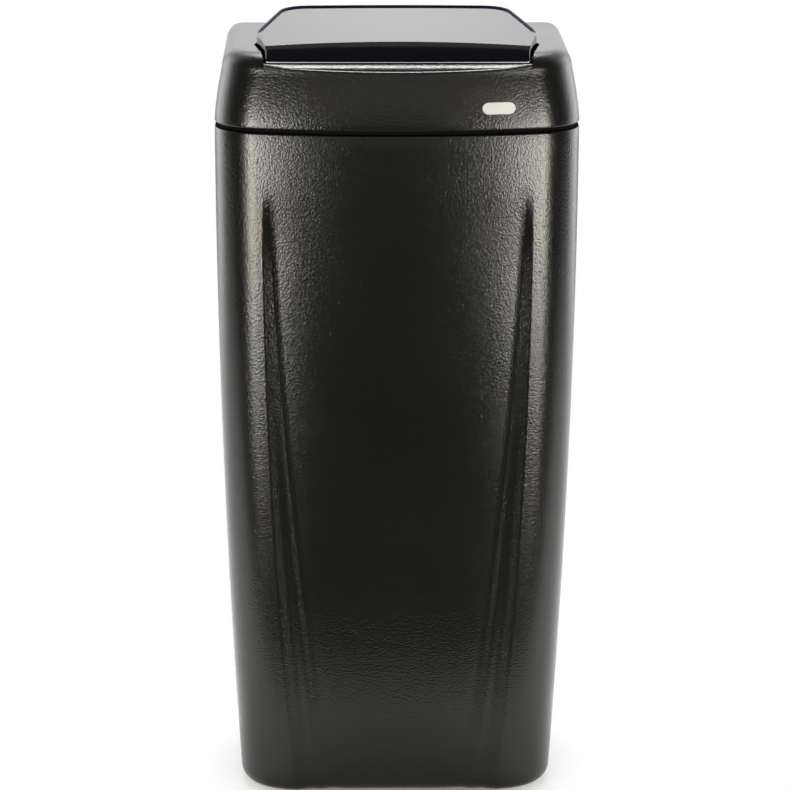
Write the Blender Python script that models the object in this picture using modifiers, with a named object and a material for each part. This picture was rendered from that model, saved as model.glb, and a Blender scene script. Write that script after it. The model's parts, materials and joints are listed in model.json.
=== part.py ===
"""A wall-mounted waste bin: a tapered body hung on a steel wall plate, a hinged hood with a see-saw
flap, a slide latch and a tilting bag frame. Metres, +Z up, the front faces -Y, the wall is at Y = 0.

Heights below are measured from the bottom of the bin. The root empty lowers everything, so that the
origin is the middle of the wall plate's back face."""

import math

import bmesh
import bpy
from mathutils import Matrix, Vector

# Fits shared by every piece
SEATED_GAP = 0.0003
RUNNING_GAP = 0.0003
OVERRUN = 0.004
WELD_DISTANCE = 0.000002

# Outline of the bin seen from above
WIDTH = 0.330
DEPTH = 0.250
BOW_RADIUS = 0.520
CORNER_RADIUS = 0.049
REAR_RADIUS = 0.012

# Body
BODY_HEIGHT = 0.632
BODY_WALL = 0.003
BASE_FILLET = 0.014
FLOOR_THICKNESS = 0.004
SIDE_TAPER = 0.020
FRONT_TAPER = 0.026
RIM_THICKNESS = 0.0067
RIM_BAND = 0.008
RIM_CHAMFER = 0.006
LIP_SET_IN = 0.0042
LIP_HEIGHT = 0.016
BACK_PANEL_RISE = 0.052
BACK_PANEL_SIDE_MARGIN = 0.017
BACK_PANEL_SET_IN = 0.0002

# Flutes that part the front panel from the two pillars
FLUTE_TOP = 0.576
FLUTE_SIDE_MARGIN = 0.048
FLUTE_TIP_WIDTH = 0.002
FLUTE_OUTER_DRIFT = 0.030
FLUTE_INNER_DRIFT = 0.054
FLUTE_DEPTH = 0.009
FLUTE_OUTER_POWER = 1.8
FLUTE_INNER_POWER = 1.5

# Hood
SHADOW_GAP = 0.004
HOOD_HEIGHT = 0.066
HOOD_WALL = 0.003
HOOD_LEAN = 0.007
HOOD_LEAN_RISE = 0.050
HOOD_LEAN_POWER = 1.5
HOOD_FILLET = 0.016
HOOD_REAR_GAP = 0.0105
REAR_RIM_HEIGHT = 0.010
REAR_SIDE_STEP = 0.0002
RECESS_DEPTH = 0.012
LEDGE_DEPTH = 0.024

# Hinge between body and hood
HINGE_SET_IN = 0.021
HINGE_DROP = 0.013
HINGE_SIDE_MARGIN = 0.050
HINGE_PIN_RADIUS = 0.0025
HINGE_PIN_HEAD_RADIUS = 0.0042
HINGE_PIN_HEAD_LENGTH = 0.0018
KNUCKLE_RADIUS = 0.005
KNUCKLE_LENGTH = 0.030
EAR_THICKNESS = 0.004
EAR_FRONT_REACH = 0.006
EAR_REAR_REACH = 0.001
EAR_ROOT = 0.0005
PIN_END_REACH = 0.0015
LEAF_WIDTH = 0.040
LEAF_HEIGHT = 0.018
LEAF_THICKNESS = 0.0025
LEAF_FOOT_THICKNESS = 0.004
LEAF_FOOT_DROP = 0.021
LEAF_SCREW_SPREAD = 0.020
LEAF_SCREW_RISE = 0.006

# Flap
FLAP_FRONT_SET_IN = 0.028
FLAP_WIDEST_SET_IN = 0.083
FLAP_REAR = 0.062
FLAP_FRONT_SIDE_MARGIN = 0.047
FLAP_WIDEST_SIDE_MARGIN = 0.0384
FLAP_REAR_SIDE_MARGIN = 0.062
FLAP_BASE_RISE = 0.003
FLAP_FRONT_HEIGHT = 0.017
FLAP_REAR_HEIGHT = 0.031
FLAP_WALL = 0.003
FLAP_BEND = 0.007
FLAP_DRAFT = 0.003
FLAP_GAP = 0.003
TRAY_THICKNESS = 0.003

# Flap pivot
PIVOT_SET_IN = 0.114
PIVOT_DROP = 0.008
PIVOT_PIN_RADIUS = 0.0025
PIVOT_PIN_HEAD_RADIUS = 0.004
PIVOT_PIN_HEAD_LENGTH = 0.0015
FLAP_EAR_FROM_FRAME = 0.0185
FLAP_EAR_THICKNESS = 0.004
FLAP_EAR_RADIUS = 0.0065
PIVOT_PIN_OUTER_REACH = 0.004
BUSH_WALL = 0.0015
BUSH_FLANGE_RADIUS = 0.0062
BUSH_FLANGE_THICKNESS = 0.0012
BUSH_PROJECTION = 0.002

# Counterweight in the rear of the flap
WEIGHT_END_MARGIN = 0.023
WEIGHT_DEPTH = 0.020
WEIGHT_HEIGHT = 0.011
WEIGHT_FROM_REAR = 0.012
WEIGHT_SCREW_INSET = 0.025
WEIGHT_SCREW_BITE = 0.006

# Chute frame under the hood
FRAME_SIDE_MARGIN = 0.0345
FRAME_WALL = 0.0025
FRAME_DROP = 0.032
FRAME_FRONT_SET_IN = 0.050
FRAME_REAR_GAP = 0.005
FRAME_REAR_LEDGE = 0.017
FLANGE_THICKNESS = 0.003
FLANGE_SIDE_REACH = 0.0165
BOSS_FRONT_INSET = 0.010
BOSS_REAR_INSET = 0.018
BOSS_RADIUS = 0.005
BUMPER_FROM_FLAP_SIDE = 0.043
BUMPER_RADIUS = 0.004
BUMPER_FROM_FLAP_REAR = 0.0045

# Slide latch
LATCH_HALF_WIDTH = 0.016
LATCH_WALL = 0.003
LATCH_DEPTH = 0.0092
LATCH_FOOT_REACH = 0.0015
LATCH_SCREW_SPREAD = 0.018
LATCH_SCREW_SET_IN = 0.002
BOLT_HALF_WIDTH = 0.012
BOLT_THICKNESS = 0.004
BOLT_LENGTH = 0.0192
BOLT_TRAVEL = 0.0065
BOLT_TIP_GAP = 0.0041
GRIP_HEIGHT = 0.0127
GRIP_THICKNESS = 0.0018
GRIP_STOP_GAP = 0.0005
WINDOW_SIDE_GAP = 0.0015
WINDOW_HEIGHT_GAP = 0.001

# Small screws shared by the hinge, frame, latch, weight and bag brackets
SCREW_RADIUS = 0.0016
SCREW_HEAD_RADIUS = 0.0034
SCREW_HEAD_HEIGHT = 0.0024
SOCKET_RADIUS = 0.0014
SOCKET_DEPTH = 0.0012
SCREW_END_GAP = 0.0007
BOSS_SCREW_LENGTH = 0.012

# Wall plate and what hangs the body on it
PLATE_WIDTH = 0.200
PLATE_HEIGHT = 0.260
PLATE_THICKNESS = 0.002
PLATE_CORNER = 0.008
MOUNT_HEIGHT = 0.430
WALL_HOLE_RADIUS = 0.0035
WALL_HOLE_INSET = 0.018
HOOK_FROM_PLATE_SIDE = 0.030
HOOK_WIDTH = 0.030
HOOK_FROM_PLATE_TOP = 0.080
HOOK_THICKNESS = 0.002
HOOK_RISE = 0.014
HOOK_SLOT_SIDE_GAP = 0.002
HOOK_SLOT_DROP = 0.018
FIXING_FROM_PLATE_END = 0.035
FIXING_RADIUS = 0.0025
FIXING_HEAD_RADIUS = 0.005
FIXING_HEAD_HEIGHT = 0.003
FIXING_SOCKET_RADIUS = 0.0022
FIXING_SOCKET_DEPTH = 0.0018
WASHER_RADIUS = 0.007
WASHER_THICKNESS = 0.001
WALL_GAP_AT_SCREW = 0.0004
PAD_SIDE_MARGIN = 0.055
PAD_Z = 0.060
PAD_RADIUS = 0.010

# Bag frame
BAG_FRAME_Z = 0.546
BAG_WIRE_RADIUS = 0.0025
BAG_FRAME_SET_IN = 0.012
BAG_AXIS_SET_IN = 0.0145
BAG_REAR_RADIUS = 0.018
BRACKET_X = 0.070
BRACKET_WIDTH = 0.020
BRACKET_WRAP = 0.0055
BRACKET_MOUTH = 0.0042
BRACKET_LEG_THICKNESS = 0.004
BRACKET_LEG_LENGTH = 0.020
BRACKET_SCREW_DROP = 0.019

# Blank badge on the hood's front
BADGE_SIDE_MARGIN = 0.0755
BADGE_RISE = 0.0195
BADGE_LENGTH = 0.030
BADGE_HEIGHT = 0.0105
BADGE_THICKNESS = 0.0012

# Counts and shares, which have no length
PANEL_STEPS = 4
FLUTE_STEPS = 3
PILLAR_STEPS = 2
CORNER_STEPS = 6
REAR_STEPS = 3
FILLET_STEPS = 3
BODY_LEVELS = 9
HOOD_LEVELS = 4
ROUND_SIDES = 16
BORE_SIDES = 24
SCREW_STEPS = 12
WIRE_RESOLUTION = 2
SMOOTH_DEGREES = 32

# Places worked out from the sizes above
HALF_WIDTH = WIDTH / 2
BACK_PANEL_HALF_WIDTH = HALF_WIDTH - BACK_PANEL_SIDE_MARGIN
FLUTE_TOP_X = HALF_WIDTH - FLUTE_SIDE_MARGIN
HINGE_X = HALF_WIDTH - HINGE_SIDE_MARGIN
PAD_X = HALF_WIDTH - PAD_SIDE_MARGIN
BADGE_X = HALF_WIDTH - BADGE_SIDE_MARGIN
FLAP_FRONT = DEPTH - FLAP_FRONT_SET_IN
FLAP_WIDEST = DEPTH - FLAP_WIDEST_SET_IN
FLAP_FRONT_HALF = HALF_WIDTH - FLAP_FRONT_SIDE_MARGIN
FLAP_WIDEST_HALF = HALF_WIDTH - FLAP_WIDEST_SIDE_MARGIN
FLAP_REAR_HALF = HALF_WIDTH - FLAP_REAR_SIDE_MARGIN
PIVOT_Y = DEPTH - PIVOT_SET_IN
FRAME_HALF_WIDTH = HALF_WIDTH - FRAME_SIDE_MARGIN
FRAME_FRONT_Y = DEPTH - FRAME_FRONT_SET_IN
FRAME_REAR_Y = FLAP_REAR - FRAME_REAR_GAP
FLAP_EAR_X = FRAME_HALF_WIDTH - FLAP_EAR_FROM_FRAME
BOSS_X = FRAME_HALF_WIDTH + FRAME_WALL + BOSS_RADIUS
BOSS_FRONT_Y = FRAME_FRONT_Y - BOSS_FRONT_INSET
BOSS_REAR_Y = FRAME_REAR_Y + BOSS_REAR_INSET
BUMPER_X = FLAP_REAR_HALF - BUMPER_FROM_FLAP_SIDE
WEIGHT_LENGTH = 2 * (FLAP_REAR_HALF - WEIGHT_END_MARGIN)
WEIGHT_SCREW_SPREAD = WEIGHT_LENGTH - 2 * WEIGHT_SCREW_INSET
PLATE_TOP = MOUNT_HEIGHT + PLATE_HEIGHT / 2
PLATE_BOTTOM = MOUNT_HEIGHT - PLATE_HEIGHT / 2
HOOK_X = PLATE_WIDTH / 2 - HOOK_FROM_PLATE_SIDE
HOOK_TOP = PLATE_TOP - HOOK_FROM_PLATE_TOP
FIXING_Z = PLATE_BOTTOM + FIXING_FROM_PLATE_END
BODY_BACK = -(PLATE_THICKNESS + SEATED_GAP)
BODY_INNER_BACK = BODY_BACK - BODY_WALL
SEAM_HEIGHT = BODY_HEIGHT + SHADOW_GAP
HOOD_TOP = SEAM_HEIGHT + HOOD_HEIGHT
HINGE_Y = -HINGE_SET_IN
HINGE_Z = HOOD_TOP - HINGE_DROP
RECESS_FLOOR = HOOD_TOP - RECESS_DEPTH
RECESS_UNDERSIDE = RECESS_FLOOR - HOOD_WALL
FRAME_TOP = RECESS_UNDERSIDE - SEATED_GAP
FRAME_UNDER_FLANGE = FRAME_TOP - FLANGE_THICKNESS
FRAME_BOTTOM = FRAME_TOP - FRAME_DROP
LEDGE_BACK = -(DEPTH - LEDGE_DEPTH)
FLAP_BASE = RECESS_FLOOR + FLAP_BASE_RISE
PIVOT_Z = RECESS_FLOOR - PIVOT_DROP
TRAY_TOP = FLAP_BASE + TRAY_THICKNESS
LIP_FRONT = -(DEPTH - LIP_SET_IN)
LIP_INNER_FRONT = -(DEPTH - RIM_THICKNESS)
BOLT_TIP = LIP_INNER_FRONT + BOLT_TIP_GAP
BOLT_END = BOLT_TIP + BOLT_LENGTH
BOLT_Z = SEAM_HEIGHT + WINDOW_HEIGHT_GAP + BOLT_THICKNESS / 2
LATCH_BACK = BOLT_END - GRIP_THICKNESS - GRIP_STOP_GAP - BOLT_TRAVEL
LATCH_FRONT = LATCH_BACK - LATCH_DEPTH
PANEL_FRONT = BODY_BACK - BACK_PANEL_SET_IN - BODY_WALL
HOOD_BACK = -HOOD_REAR_GAP
FILLET_BASE = HOOD_TOP - HOOD_FILLET
BORE_RADIUS = SCREW_RADIUS + RUNNING_GAP
LEAF_FOOT_TOP = HINGE_Z - LEAF_FOOT_DROP
LEAF_SCREW_Z = LEAF_FOOT_TOP - LEAF_HEIGHT + LEAF_SCREW_RISE


# Scene, materials and parents


def clear_scene():
    for obj in list(bpy.data.objects):
        bpy.data.objects.remove(obj, do_unlink=True)


def new_collection(name):
    made = bpy.data.collections.new(name)
    bpy.context.scene.collection.children.link(made)
    return made


clear_scene()
PARTS = new_collection("wall_bin")
CUTTERS = new_collection("wall_bin_cutters")


def new_empty(name, place, parent=None):
    """An empty at a place given in the bin's own heights; its children keep those heights too."""
    empty = bpy.data.objects.new(name, None)
    empty["place"] = place
    PARTS.objects.link(empty)
    if parent:
        empty.parent = parent
        empty.location = Vector(place) - Vector(parent["place"])
    else:
        empty.location = (0, 0, -MOUNT_HEIGHT)
    return empty


ROOT = new_empty("bin_root", (0, 0, 0))
HOOD_AXIS = new_empty("hood_axis", (0, HINGE_Y, HINGE_Z), ROOT)
FLAP_AXIS = new_empty("flap_axis", (0, -PIVOT_Y, PIVOT_Z), HOOD_AXIS)
LATCH_SLIDE = new_empty("latch_slide", (0, BOLT_TIP, BOLT_Z), HOOD_AXIS)
BAG_AXIS = new_empty("bag_frame_axis", (0, -BAG_AXIS_SET_IN, BAG_FRAME_Z), ROOT)


def material(name, colour, roughness, metallic=0):
    made = bpy.data.materials.new(name)
    made.use_nodes = True
    shader = made.node_tree.nodes["Principled BSDF"]
    shader.inputs["Base Color"].default_value = (*colour, 1)
    shader.inputs["Roughness"].default_value = roughness
    shader.inputs["Metallic"].default_value = metallic
    return made


TEXTURED_BLACK = material("textured_black_plastic", (0.012, 0.012, 0.011), 0.5)
GLOSS_BLACK = material("gloss_black_acrylic", (0.006, 0.006, 0.012), 0.06)
INNER_BLACK = material("moulded_black_plastic", (0.015, 0.015, 0.015), 0.6)
BUSH_WHITE = material("acetal_bush", (0.75, 0.74, 0.7), 0.45)
SOFT_BLACK = material("black_rubber", (0.02, 0.02, 0.02), 0.85)
PLATE_STEEL = material("galvanised_steel", (0.55, 0.56, 0.57), 0.42, 1)
PIN_STEEL = material("bright_steel", (0.62, 0.62, 0.63), 0.25, 1)
BADGE_GREY = material("badge_grey", (0.62, 0.62, 0.6), 0.4)


# Making and joining meshes


def add_object(name, mesh, parent, skin, place=(0, 0, 0), turn=None):
    """Links a mesh as a named object. The place is in the bin's own heights."""
    obj = bpy.data.objects.new(name, mesh)
    PARTS.objects.link(obj)
    obj.parent = parent
    obj.location = Vector(place) - Vector(parent["place"])
    if turn:
        obj.rotation_euler = turn
    if skin:
        mesh.materials.append(skin)
    return obj


def as_cutter(obj):
    """Moves a helper to the cutters' collection, out of the render."""
    PARTS.objects.unlink(obj)
    CUTTERS.objects.link(obj)
    obj.hide_render = True
    obj.display_type = "WIRE"
    return obj


def mesh_from(name, made):
    mesh = bpy.data.meshes.new(name)
    bmesh.ops.recalc_face_normals(made, faces=made.faces)
    made.to_mesh(mesh)
    made.free()
    mesh.shade_smooth()
    mesh.set_sharp_from_angle(angle=math.radians(SMOOTH_DEGREES))
    return mesh


def box(name, low, high, parent=ROOT, skin=None):
    """A box between two corners, with its origin in its middle."""
    low = Vector(low)
    high = Vector(high)
    made = bmesh.new()
    bmesh.ops.create_cube(made, size=1, matrix=Matrix.Diagonal((*(high - low), 1)))
    return add_object(name, mesh_from(name, made), parent, skin, (low + high) / 2)


def cylinder(name, radius, start, end, parent=ROOT, skin=None, sides=ROUND_SIDES):
    """A cylinder from one point to another, with its origin in its middle."""
    start = Vector(start)
    end = Vector(end)
    made = bmesh.new()
    bmesh.ops.create_cone(
        made, cap_ends=True, segments=sides, radius1=radius, radius2=radius, depth=(end - start).length
    )
    turn = (end - start).to_track_quat("Z", "Y").to_euler()
    return add_object(name, mesh_from(name, made), parent, skin, (start + end) / 2, turn)


def loft(name, rings, parent=ROOT, skin=None):
    """A closed solid through rings of points, all with the same count, with flat ends."""
    made = bmesh.new()
    loops = [[made.verts.new(point) for point in ring] for ring in rings]
    for lower, upper in zip(loops, loops[1:]):
        for index in range(len(lower)):
            after = (index + 1) % len(lower)
            made.faces.new((lower[index], lower[after], upper[after], upper[index]))
    made.faces.new(loops[0][::-1])
    made.faces.new(loops[-1])
    bmesh.ops.remove_doubles(made, verts=made.verts, dist=WELD_DISTANCE)
    return add_object(name, mesh_from(name, made), parent, skin)


def at_height(outline, z):
    return [(x, y, z) for x, y in outline]


def boolean(target, operation, *tools):
    """Cuts, joins or intersects a target with helpers, and hides them from the render."""
    for tool in tools:
        change = target.modifiers.new(tool.name, "BOOLEAN")
        change.operation = operation
        change.solver = "EXACT"
        change.object = as_cutter(tool)


def turned(name, profile, place, toward, parent, skin, ring=False):
    """A turned piece: radius and depth pairs, run along a direction from its place."""
    mesh = bpy.data.meshes.new(name)
    points = [(radius, 0, -depth) for radius, depth in profile]
    edges = [(index, index + 1) for index in range(len(points) - 1)]
    if ring:
        edges.append((len(points) - 1, 0))
    mesh.from_pydata(points, edges, [])
    turn = (-Vector(toward)).to_track_quat("Z", "Y").to_euler()
    obj = add_object(name, mesh, parent, skin, place, turn)
    spin = obj.modifiers.new("turn", "SCREW")
    spin.axis = "Z"
    spin.steps = SCREW_STEPS
    spin.render_steps = SCREW_STEPS
    spin.use_merge_vertices = True
    spin.merge_threshold = WELD_DISTANCE
    spin.use_smooth_shade = False
    return obj


def screw(name, place, toward, length, parent, size="small"):
    """A socket screw: its place is the middle of its head's top, its length is the shank's."""
    if size == "small":
        head, height, shank = SCREW_HEAD_RADIUS, SCREW_HEAD_HEIGHT, SCREW_RADIUS
        socket, depth = SOCKET_RADIUS, SOCKET_DEPTH
    else:
        head, height, shank = FIXING_HEAD_RADIUS, FIXING_HEAD_HEIGHT, FIXING_RADIUS
        socket, depth = FIXING_SOCKET_RADIUS, FIXING_SOCKET_DEPTH
    profile = [
        (0, depth),
        (socket, depth),
        (socket, 0),
        (head, 0),
        (head, height),
        (shank, height),
        (shank, height + length),
        (0, height + length),
    ]
    return turned(name, profile, place, toward, parent, PIN_STEEL)


# The bin's outline


def share_of(z, start, end):
    """How far a height lies between two others, from 0 to 1."""
    return min(max((z - start) / (end - start), 0), 1)


def half_width_at(z):
    """Half the bin's width: it draws in toward the bottom and leans in over the hood."""
    below = share_of(z, SEAM_HEIGHT, 0)
    above = max(z - SEAM_HEIGHT, 0) / HOOD_LEAN_RISE
    return HALF_WIDTH - SIDE_TAPER * below**2 - HOOD_LEAN * above**HOOD_LEAN_POWER


def front_at(z):
    """The foremost Y of the bow at a height."""
    below = share_of(z, SEAM_HEIGHT, 0)
    above = max(z - SEAM_HEIGHT, 0) / HOOD_LEAN_RISE
    return -DEPTH + FRONT_TAPER * below**2 + HOOD_LEAN * above**HOOD_LEAN_POWER


def flute_at(z):
    """Inner and outer edge of the flute, its depth, and how flat the panel beside it is."""
    grown = share_of(z, FLUTE_TOP, 0)
    outer = FLUTE_TOP_X - FLUTE_OUTER_DRIFT * grown**FLUTE_OUTER_POWER
    inner = FLUTE_TOP_X - FLUTE_TIP_WIDTH - FLUTE_INNER_DRIFT * grown**FLUTE_INNER_POWER
    return inner, outer, FLUTE_DEPTH * grown, grown


def section(z, inset=0, back=BODY_BACK, rear_radius=REAR_RADIUS):
    """The outline at a height, drawn in by an inset all round, anticlockwise from the rear left."""
    half = half_width_at(z) - inset
    front = front_at(z) + inset
    bow = BOW_RADIUS - inset
    corner = max(CORNER_RADIUS - inset, REAR_RADIUS)
    rear = max(rear_radius - inset, BODY_WALL)
    rear_y = back - inset
    inner, outer, depth, flat = flute_at(z)
    turn = math.asin((half - corner) / (bow - corner))
    corner_y = front + bow - math.sqrt((bow - corner) ** 2 - (half - corner) ** 2)

    def bow_y(x):
        return front + bow - math.sqrt(bow**2 - x**2)

    points = []
    for step in range(PANEL_STEPS):
        x = inner * step / PANEL_STEPS
        points.append((x, bow_y(inner) + depth + (bow_y(x) - bow_y(inner)) * (1 - flat)))
    for step in range(FLUTE_STEPS + 1):
        share = step / FLUTE_STEPS
        smooth = share * share * (3 - 2 * share)
        floor = bow_y(inner) + depth
        points.append((inner + (outer - inner) * share, floor + (bow_y(outer) - floor) * smooth))
    start = math.asin(outer / bow)
    for step in range(1, PILLAR_STEPS + 1):
        angle = start + (turn - start) * step / PILLAR_STEPS
        points.append((bow * math.sin(angle), front + bow - bow * math.cos(angle)))
    for step in range(1, CORNER_STEPS + 1):
        angle = turn + (math.pi / 2 - turn) * step / CORNER_STEPS
        points.append((half - corner + corner * math.sin(angle), corner_y - corner * math.cos(angle)))
    for step in range(REAR_STEPS + 1):
        angle = math.pi / 2 * step / REAR_STEPS
        points.append((half - rear + rear * math.cos(angle), rear_y - rear + rear * math.sin(angle)))
    left = [(-x, y) for x, y in points[:0:-1]]
    return left + points


def fillet(radius, steps=FILLET_STEPS):
    """Pairs of rise and draw-in round a quarter circle, from its lower end."""
    angles = [math.pi / 2 * step / steps for step in range(steps + 1)]
    return [(radius * math.sin(angle), radius * (1 - math.cos(angle))) for angle in angles]


# The body and what holds it on the wall


def body_levels(bottom, top):
    """Heights of the body's rings: close where the flutes run, then one below the rim."""
    return [bottom + (FLUTE_TOP - bottom) * step / BODY_LEVELS for step in range(BODY_LEVELS + 1)] + [top]


def body_outer_rings():
    rings = []
    for rise, draw_in in reversed(fillet(BASE_FILLET)):
        height = BASE_FILLET - rise
        rings.append(at_height(section(height, draw_in), height))
    rings += [at_height(section(z), z) for z in body_levels(BASE_FILLET, BODY_HEIGHT)[1:]]
    lip_top = BODY_HEIGHT + LIP_HEIGHT
    rings.append(at_height(section(SEAM_HEIGHT, LIP_SET_IN), BODY_HEIGHT))
    rings.append(at_height(section(SEAM_HEIGHT, LIP_SET_IN), lip_top))
    return rings


def body_inner_rings():
    lip_top = BODY_HEIGHT + LIP_HEIGHT
    band = BODY_HEIGHT - RIM_BAND
    shoulder = band - RIM_CHAMFER
    inner_fillet = BASE_FILLET - BODY_WALL
    rings = [at_height(section(SEAM_HEIGHT, RIM_THICKNESS), z) for z in (lip_top, band)]
    levels = body_levels(FLOOR_THICKNESS + inner_fillet, shoulder)
    rings += [at_height(section(z, BODY_WALL), z) for z in reversed(levels)]
    for rise, draw_in in fillet(inner_fillet)[1:]:
        height = FLOOR_THICKNESS + inner_fillet - rise
        rings.append(at_height(section(height, BODY_WALL + draw_in), height))
    return rings


def hook_slot(x):
    half = HOOK_WIDTH / 2 + HOOK_SLOT_SIDE_GAP
    top = HOOK_TOP + SEATED_GAP
    low = (x - half, BODY_INNER_BACK - OVERRUN, top - HOOK_SLOT_DROP)
    return box("hook_slot", low, (x + half, 0, top))


def screw_bore(name, x, z, radius):
    """A round cut along Y through the wall plate, the body's back and what is screwed to it."""
    start = (x, BODY_INNER_BACK - BRACKET_LEG_THICKNESS - OVERRUN, z)
    return cylinder(name, radius, start, (x, OVERRUN, z), sides=BORE_SIDES)


def make_body():
    body = loft("body_shell", body_outer_rings() + body_inner_rings(), skin=TEXTURED_BLACK)
    panel_back = BODY_BACK - BACK_PANEL_SET_IN
    panel_low = (-BACK_PANEL_HALF_WIDTH, panel_back - BODY_WALL, BODY_HEIGHT - RIM_BAND)
    panel_top = BODY_HEIGHT + BACK_PANEL_RISE
    boolean(body, "UNION", box("back_panel", panel_low, (BACK_PANEL_HALF_WIDTH, panel_back, panel_top)))
    boolean(body, "DIFFERENCE", hook_slot(-HOOK_X), hook_slot(HOOK_X))
    window_half = BOLT_HALF_WIDTH + WINDOW_SIDE_GAP
    window_low = (-window_half, LIP_FRONT - OVERRUN, SEAM_HEIGHT + WINDOW_HEIGHT_GAP / 2)
    window_high = (window_half, LIP_INNER_FRONT + OVERRUN, BOLT_Z + BOLT_THICKNESS / 2 + WINDOW_HEIGHT_GAP)
    boolean(body, "DIFFERENCE", box("latch_window", window_low, window_high))
    bores = [screw_bore("fixing_bore", 0, FIXING_Z, FIXING_RADIUS + RUNNING_GAP)]
    for x in (-BRACKET_X, BRACKET_X):
        bores.append(screw_bore("bracket_bore", x, BAG_FRAME_Z - BRACKET_SCREW_DROP, BORE_RADIUS))
        for offset in (-LEAF_SCREW_SPREAD / 2, LEAF_SCREW_SPREAD / 2):
            leaf_x = math.copysign(HINGE_X, x) + offset
            bores.append(screw_bore("leaf_bore", leaf_x, LEAF_SCREW_Z, BORE_RADIUS))
    boolean(body, "DIFFERENCE", *bores)


def make_wall_plate():
    half = PLATE_WIDTH / 2
    plate_low = (-half, -PLATE_THICKNESS, PLATE_BOTTOM)
    plate = box("wall_plate", plate_low, (half, 0, PLATE_TOP), skin=PLATE_STEEL)
    round_corners = plate.modifiers.new("corners", "BEVEL")
    round_corners.width = PLATE_CORNER
    round_corners.segments = FILLET_STEPS
    round_corners.limit_method = "WEIGHT"
    weights = plate.data.attributes.new("bevel_weight_edge", "FLOAT", "EDGE")
    for edge in plate.data.edges:
        first, second = (plate.data.vertices[index].co for index in edge.vertices)
        weights.data[edge.index].value = float(abs(first.y - second.y) > PLATE_THICKNESS / 2)
    hook_front = BODY_INNER_BACK - RUNNING_GAP - HOOK_THICKNESS
    hook_floor = HOOK_TOP - HOOK_THICKNESS
    for x in (-HOOK_X, HOOK_X):
        side, other = x - HOOK_WIDTH / 2, x + HOOK_WIDTH / 2
        root = -PLATE_THICKNESS / 2
        tongue = box("hook_tongue", (side, hook_front, hook_floor), (other, root, HOOK_TOP))
        rise_low = (side, hook_front, hook_floor)
        rise_high = (other, hook_front + HOOK_THICKNESS, hook_floor + HOOK_RISE)
        boolean(plate, "UNION", tongue, box("hook_rise", rise_low, rise_high))
    bores = [screw_bore("plate_fixing_bore", 0, FIXING_Z, FIXING_RADIUS + RUNNING_GAP)]
    for x in (-half + WALL_HOLE_INSET, half - WALL_HOLE_INSET):
        for z in (PLATE_BOTTOM + WALL_HOLE_INSET, PLATE_TOP - WALL_HOLE_INSET):
            bores.append(screw_bore("wall_hole", x, z, WALL_HOLE_RADIUS))
    boolean(plate, "DIFFERENCE", *bores)


def make_fixing():
    """The screw that stops the body being lifted off its hooks, with its washer and two rubber pads."""
    washer_back = BODY_INNER_BACK - SEATED_GAP
    washer_front = washer_back - WASHER_THICKNESS
    bore = FIXING_RADIUS + RUNNING_GAP
    profile = [(WASHER_RADIUS, 0), (WASHER_RADIUS, WASHER_THICKNESS), (bore, WASHER_THICKNESS), (bore, 0)]
    place = (0, washer_front, FIXING_Z)
    turned("fixing_washer", profile, place, (0, 1, 0), ROOT, PIN_STEEL, ring=True)
    head = washer_front - SEATED_GAP - FIXING_HEAD_HEIGHT
    length = -WALL_GAP_AT_SCREW - head - FIXING_HEAD_HEIGHT
    screw("body_fixing_screw", (0, head, FIXING_Z), (0, 1, 0), length, ROOT, size="large")
    for side, x in (("left", -PAD_X), ("right", PAD_X)):
        start, end = (x, -PLATE_THICKNESS, PAD_Z), (x, 0, PAD_Z)
        cylinder(f"wall_pad_{side}", PAD_RADIUS, start, end, skin=SOFT_BLACK, sides=BORE_SIDES)


# The hood and its hinge


def hood_levels():
    return [SEAM_HEIGHT + (FILLET_BASE - SEAM_HEIGHT) * step / HOOD_LEVELS for step in range(HOOD_LEVELS + 1)]


def hood_outer_rings():
    rings = [at_height(section(z, 0, HOOD_BACK), z) for z in hood_levels()]
    for rise, draw_in in fillet(HOOD_FILLET)[1:]:
        rings.append(at_height(section(FILLET_BASE, draw_in, HOOD_BACK), FILLET_BASE + rise))
    return rings


def hood_cavity_rings():
    heights = [SEAM_HEIGHT - OVERRUN, *hood_levels()]
    rings = [at_height(section(z, HOOD_WALL, HOOD_BACK), z) for z in heights]
    for rise, draw_in in fillet(HOOD_FILLET - HOOD_WALL)[1:]:
        outline = section(FILLET_BASE, HOOD_WALL + draw_in, HOOD_BACK)
        rings.append(at_height(outline, FILLET_BASE + rise))
    return rings


def hood_rear_opening():
    """A cutter that opens the rear of the hood between its side walls, up to the rear rim."""
    front = HOOD_BACK - HOOD_WALL - REAR_RADIUS
    rings = []
    for z in (SEAM_HEIGHT - OVERRUN, *hood_levels(), HOOD_TOP - REAR_RIM_HEIGHT):
        half = half_width_at(z) - HOOD_WALL - REAR_SIDE_STEP
        corners = (-half, front), (half, front), (half, OVERRUN), (-half, OVERRUN)
        rings.append(at_height(corners, z))
    return loft("hood_rear_opening", rings)


def flap_plan(gap, front):
    """The flap's six-sided outline seen from above, widened by a gap and run on to a front line."""
    slope = (FLAP_WIDEST_HALF - FLAP_FRONT_HALF) / (FLAP_FRONT - FLAP_WIDEST)
    front_half = FLAP_FRONT_HALF + gap - slope * (front - FLAP_FRONT)
    right = [
        (front_half, -front),
        (FLAP_WIDEST_HALF + gap, -FLAP_WIDEST),
        (FLAP_REAR_HALF + gap, -(FLAP_REAR - gap)),
    ]
    return right + [(-x, y) for x, y in reversed(right)]


def flap_well(name, gap, front, low, high):
    outline = flap_plan(gap, front)
    return loft(name, [at_height(outline, low), at_height(outline, high)])


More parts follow.
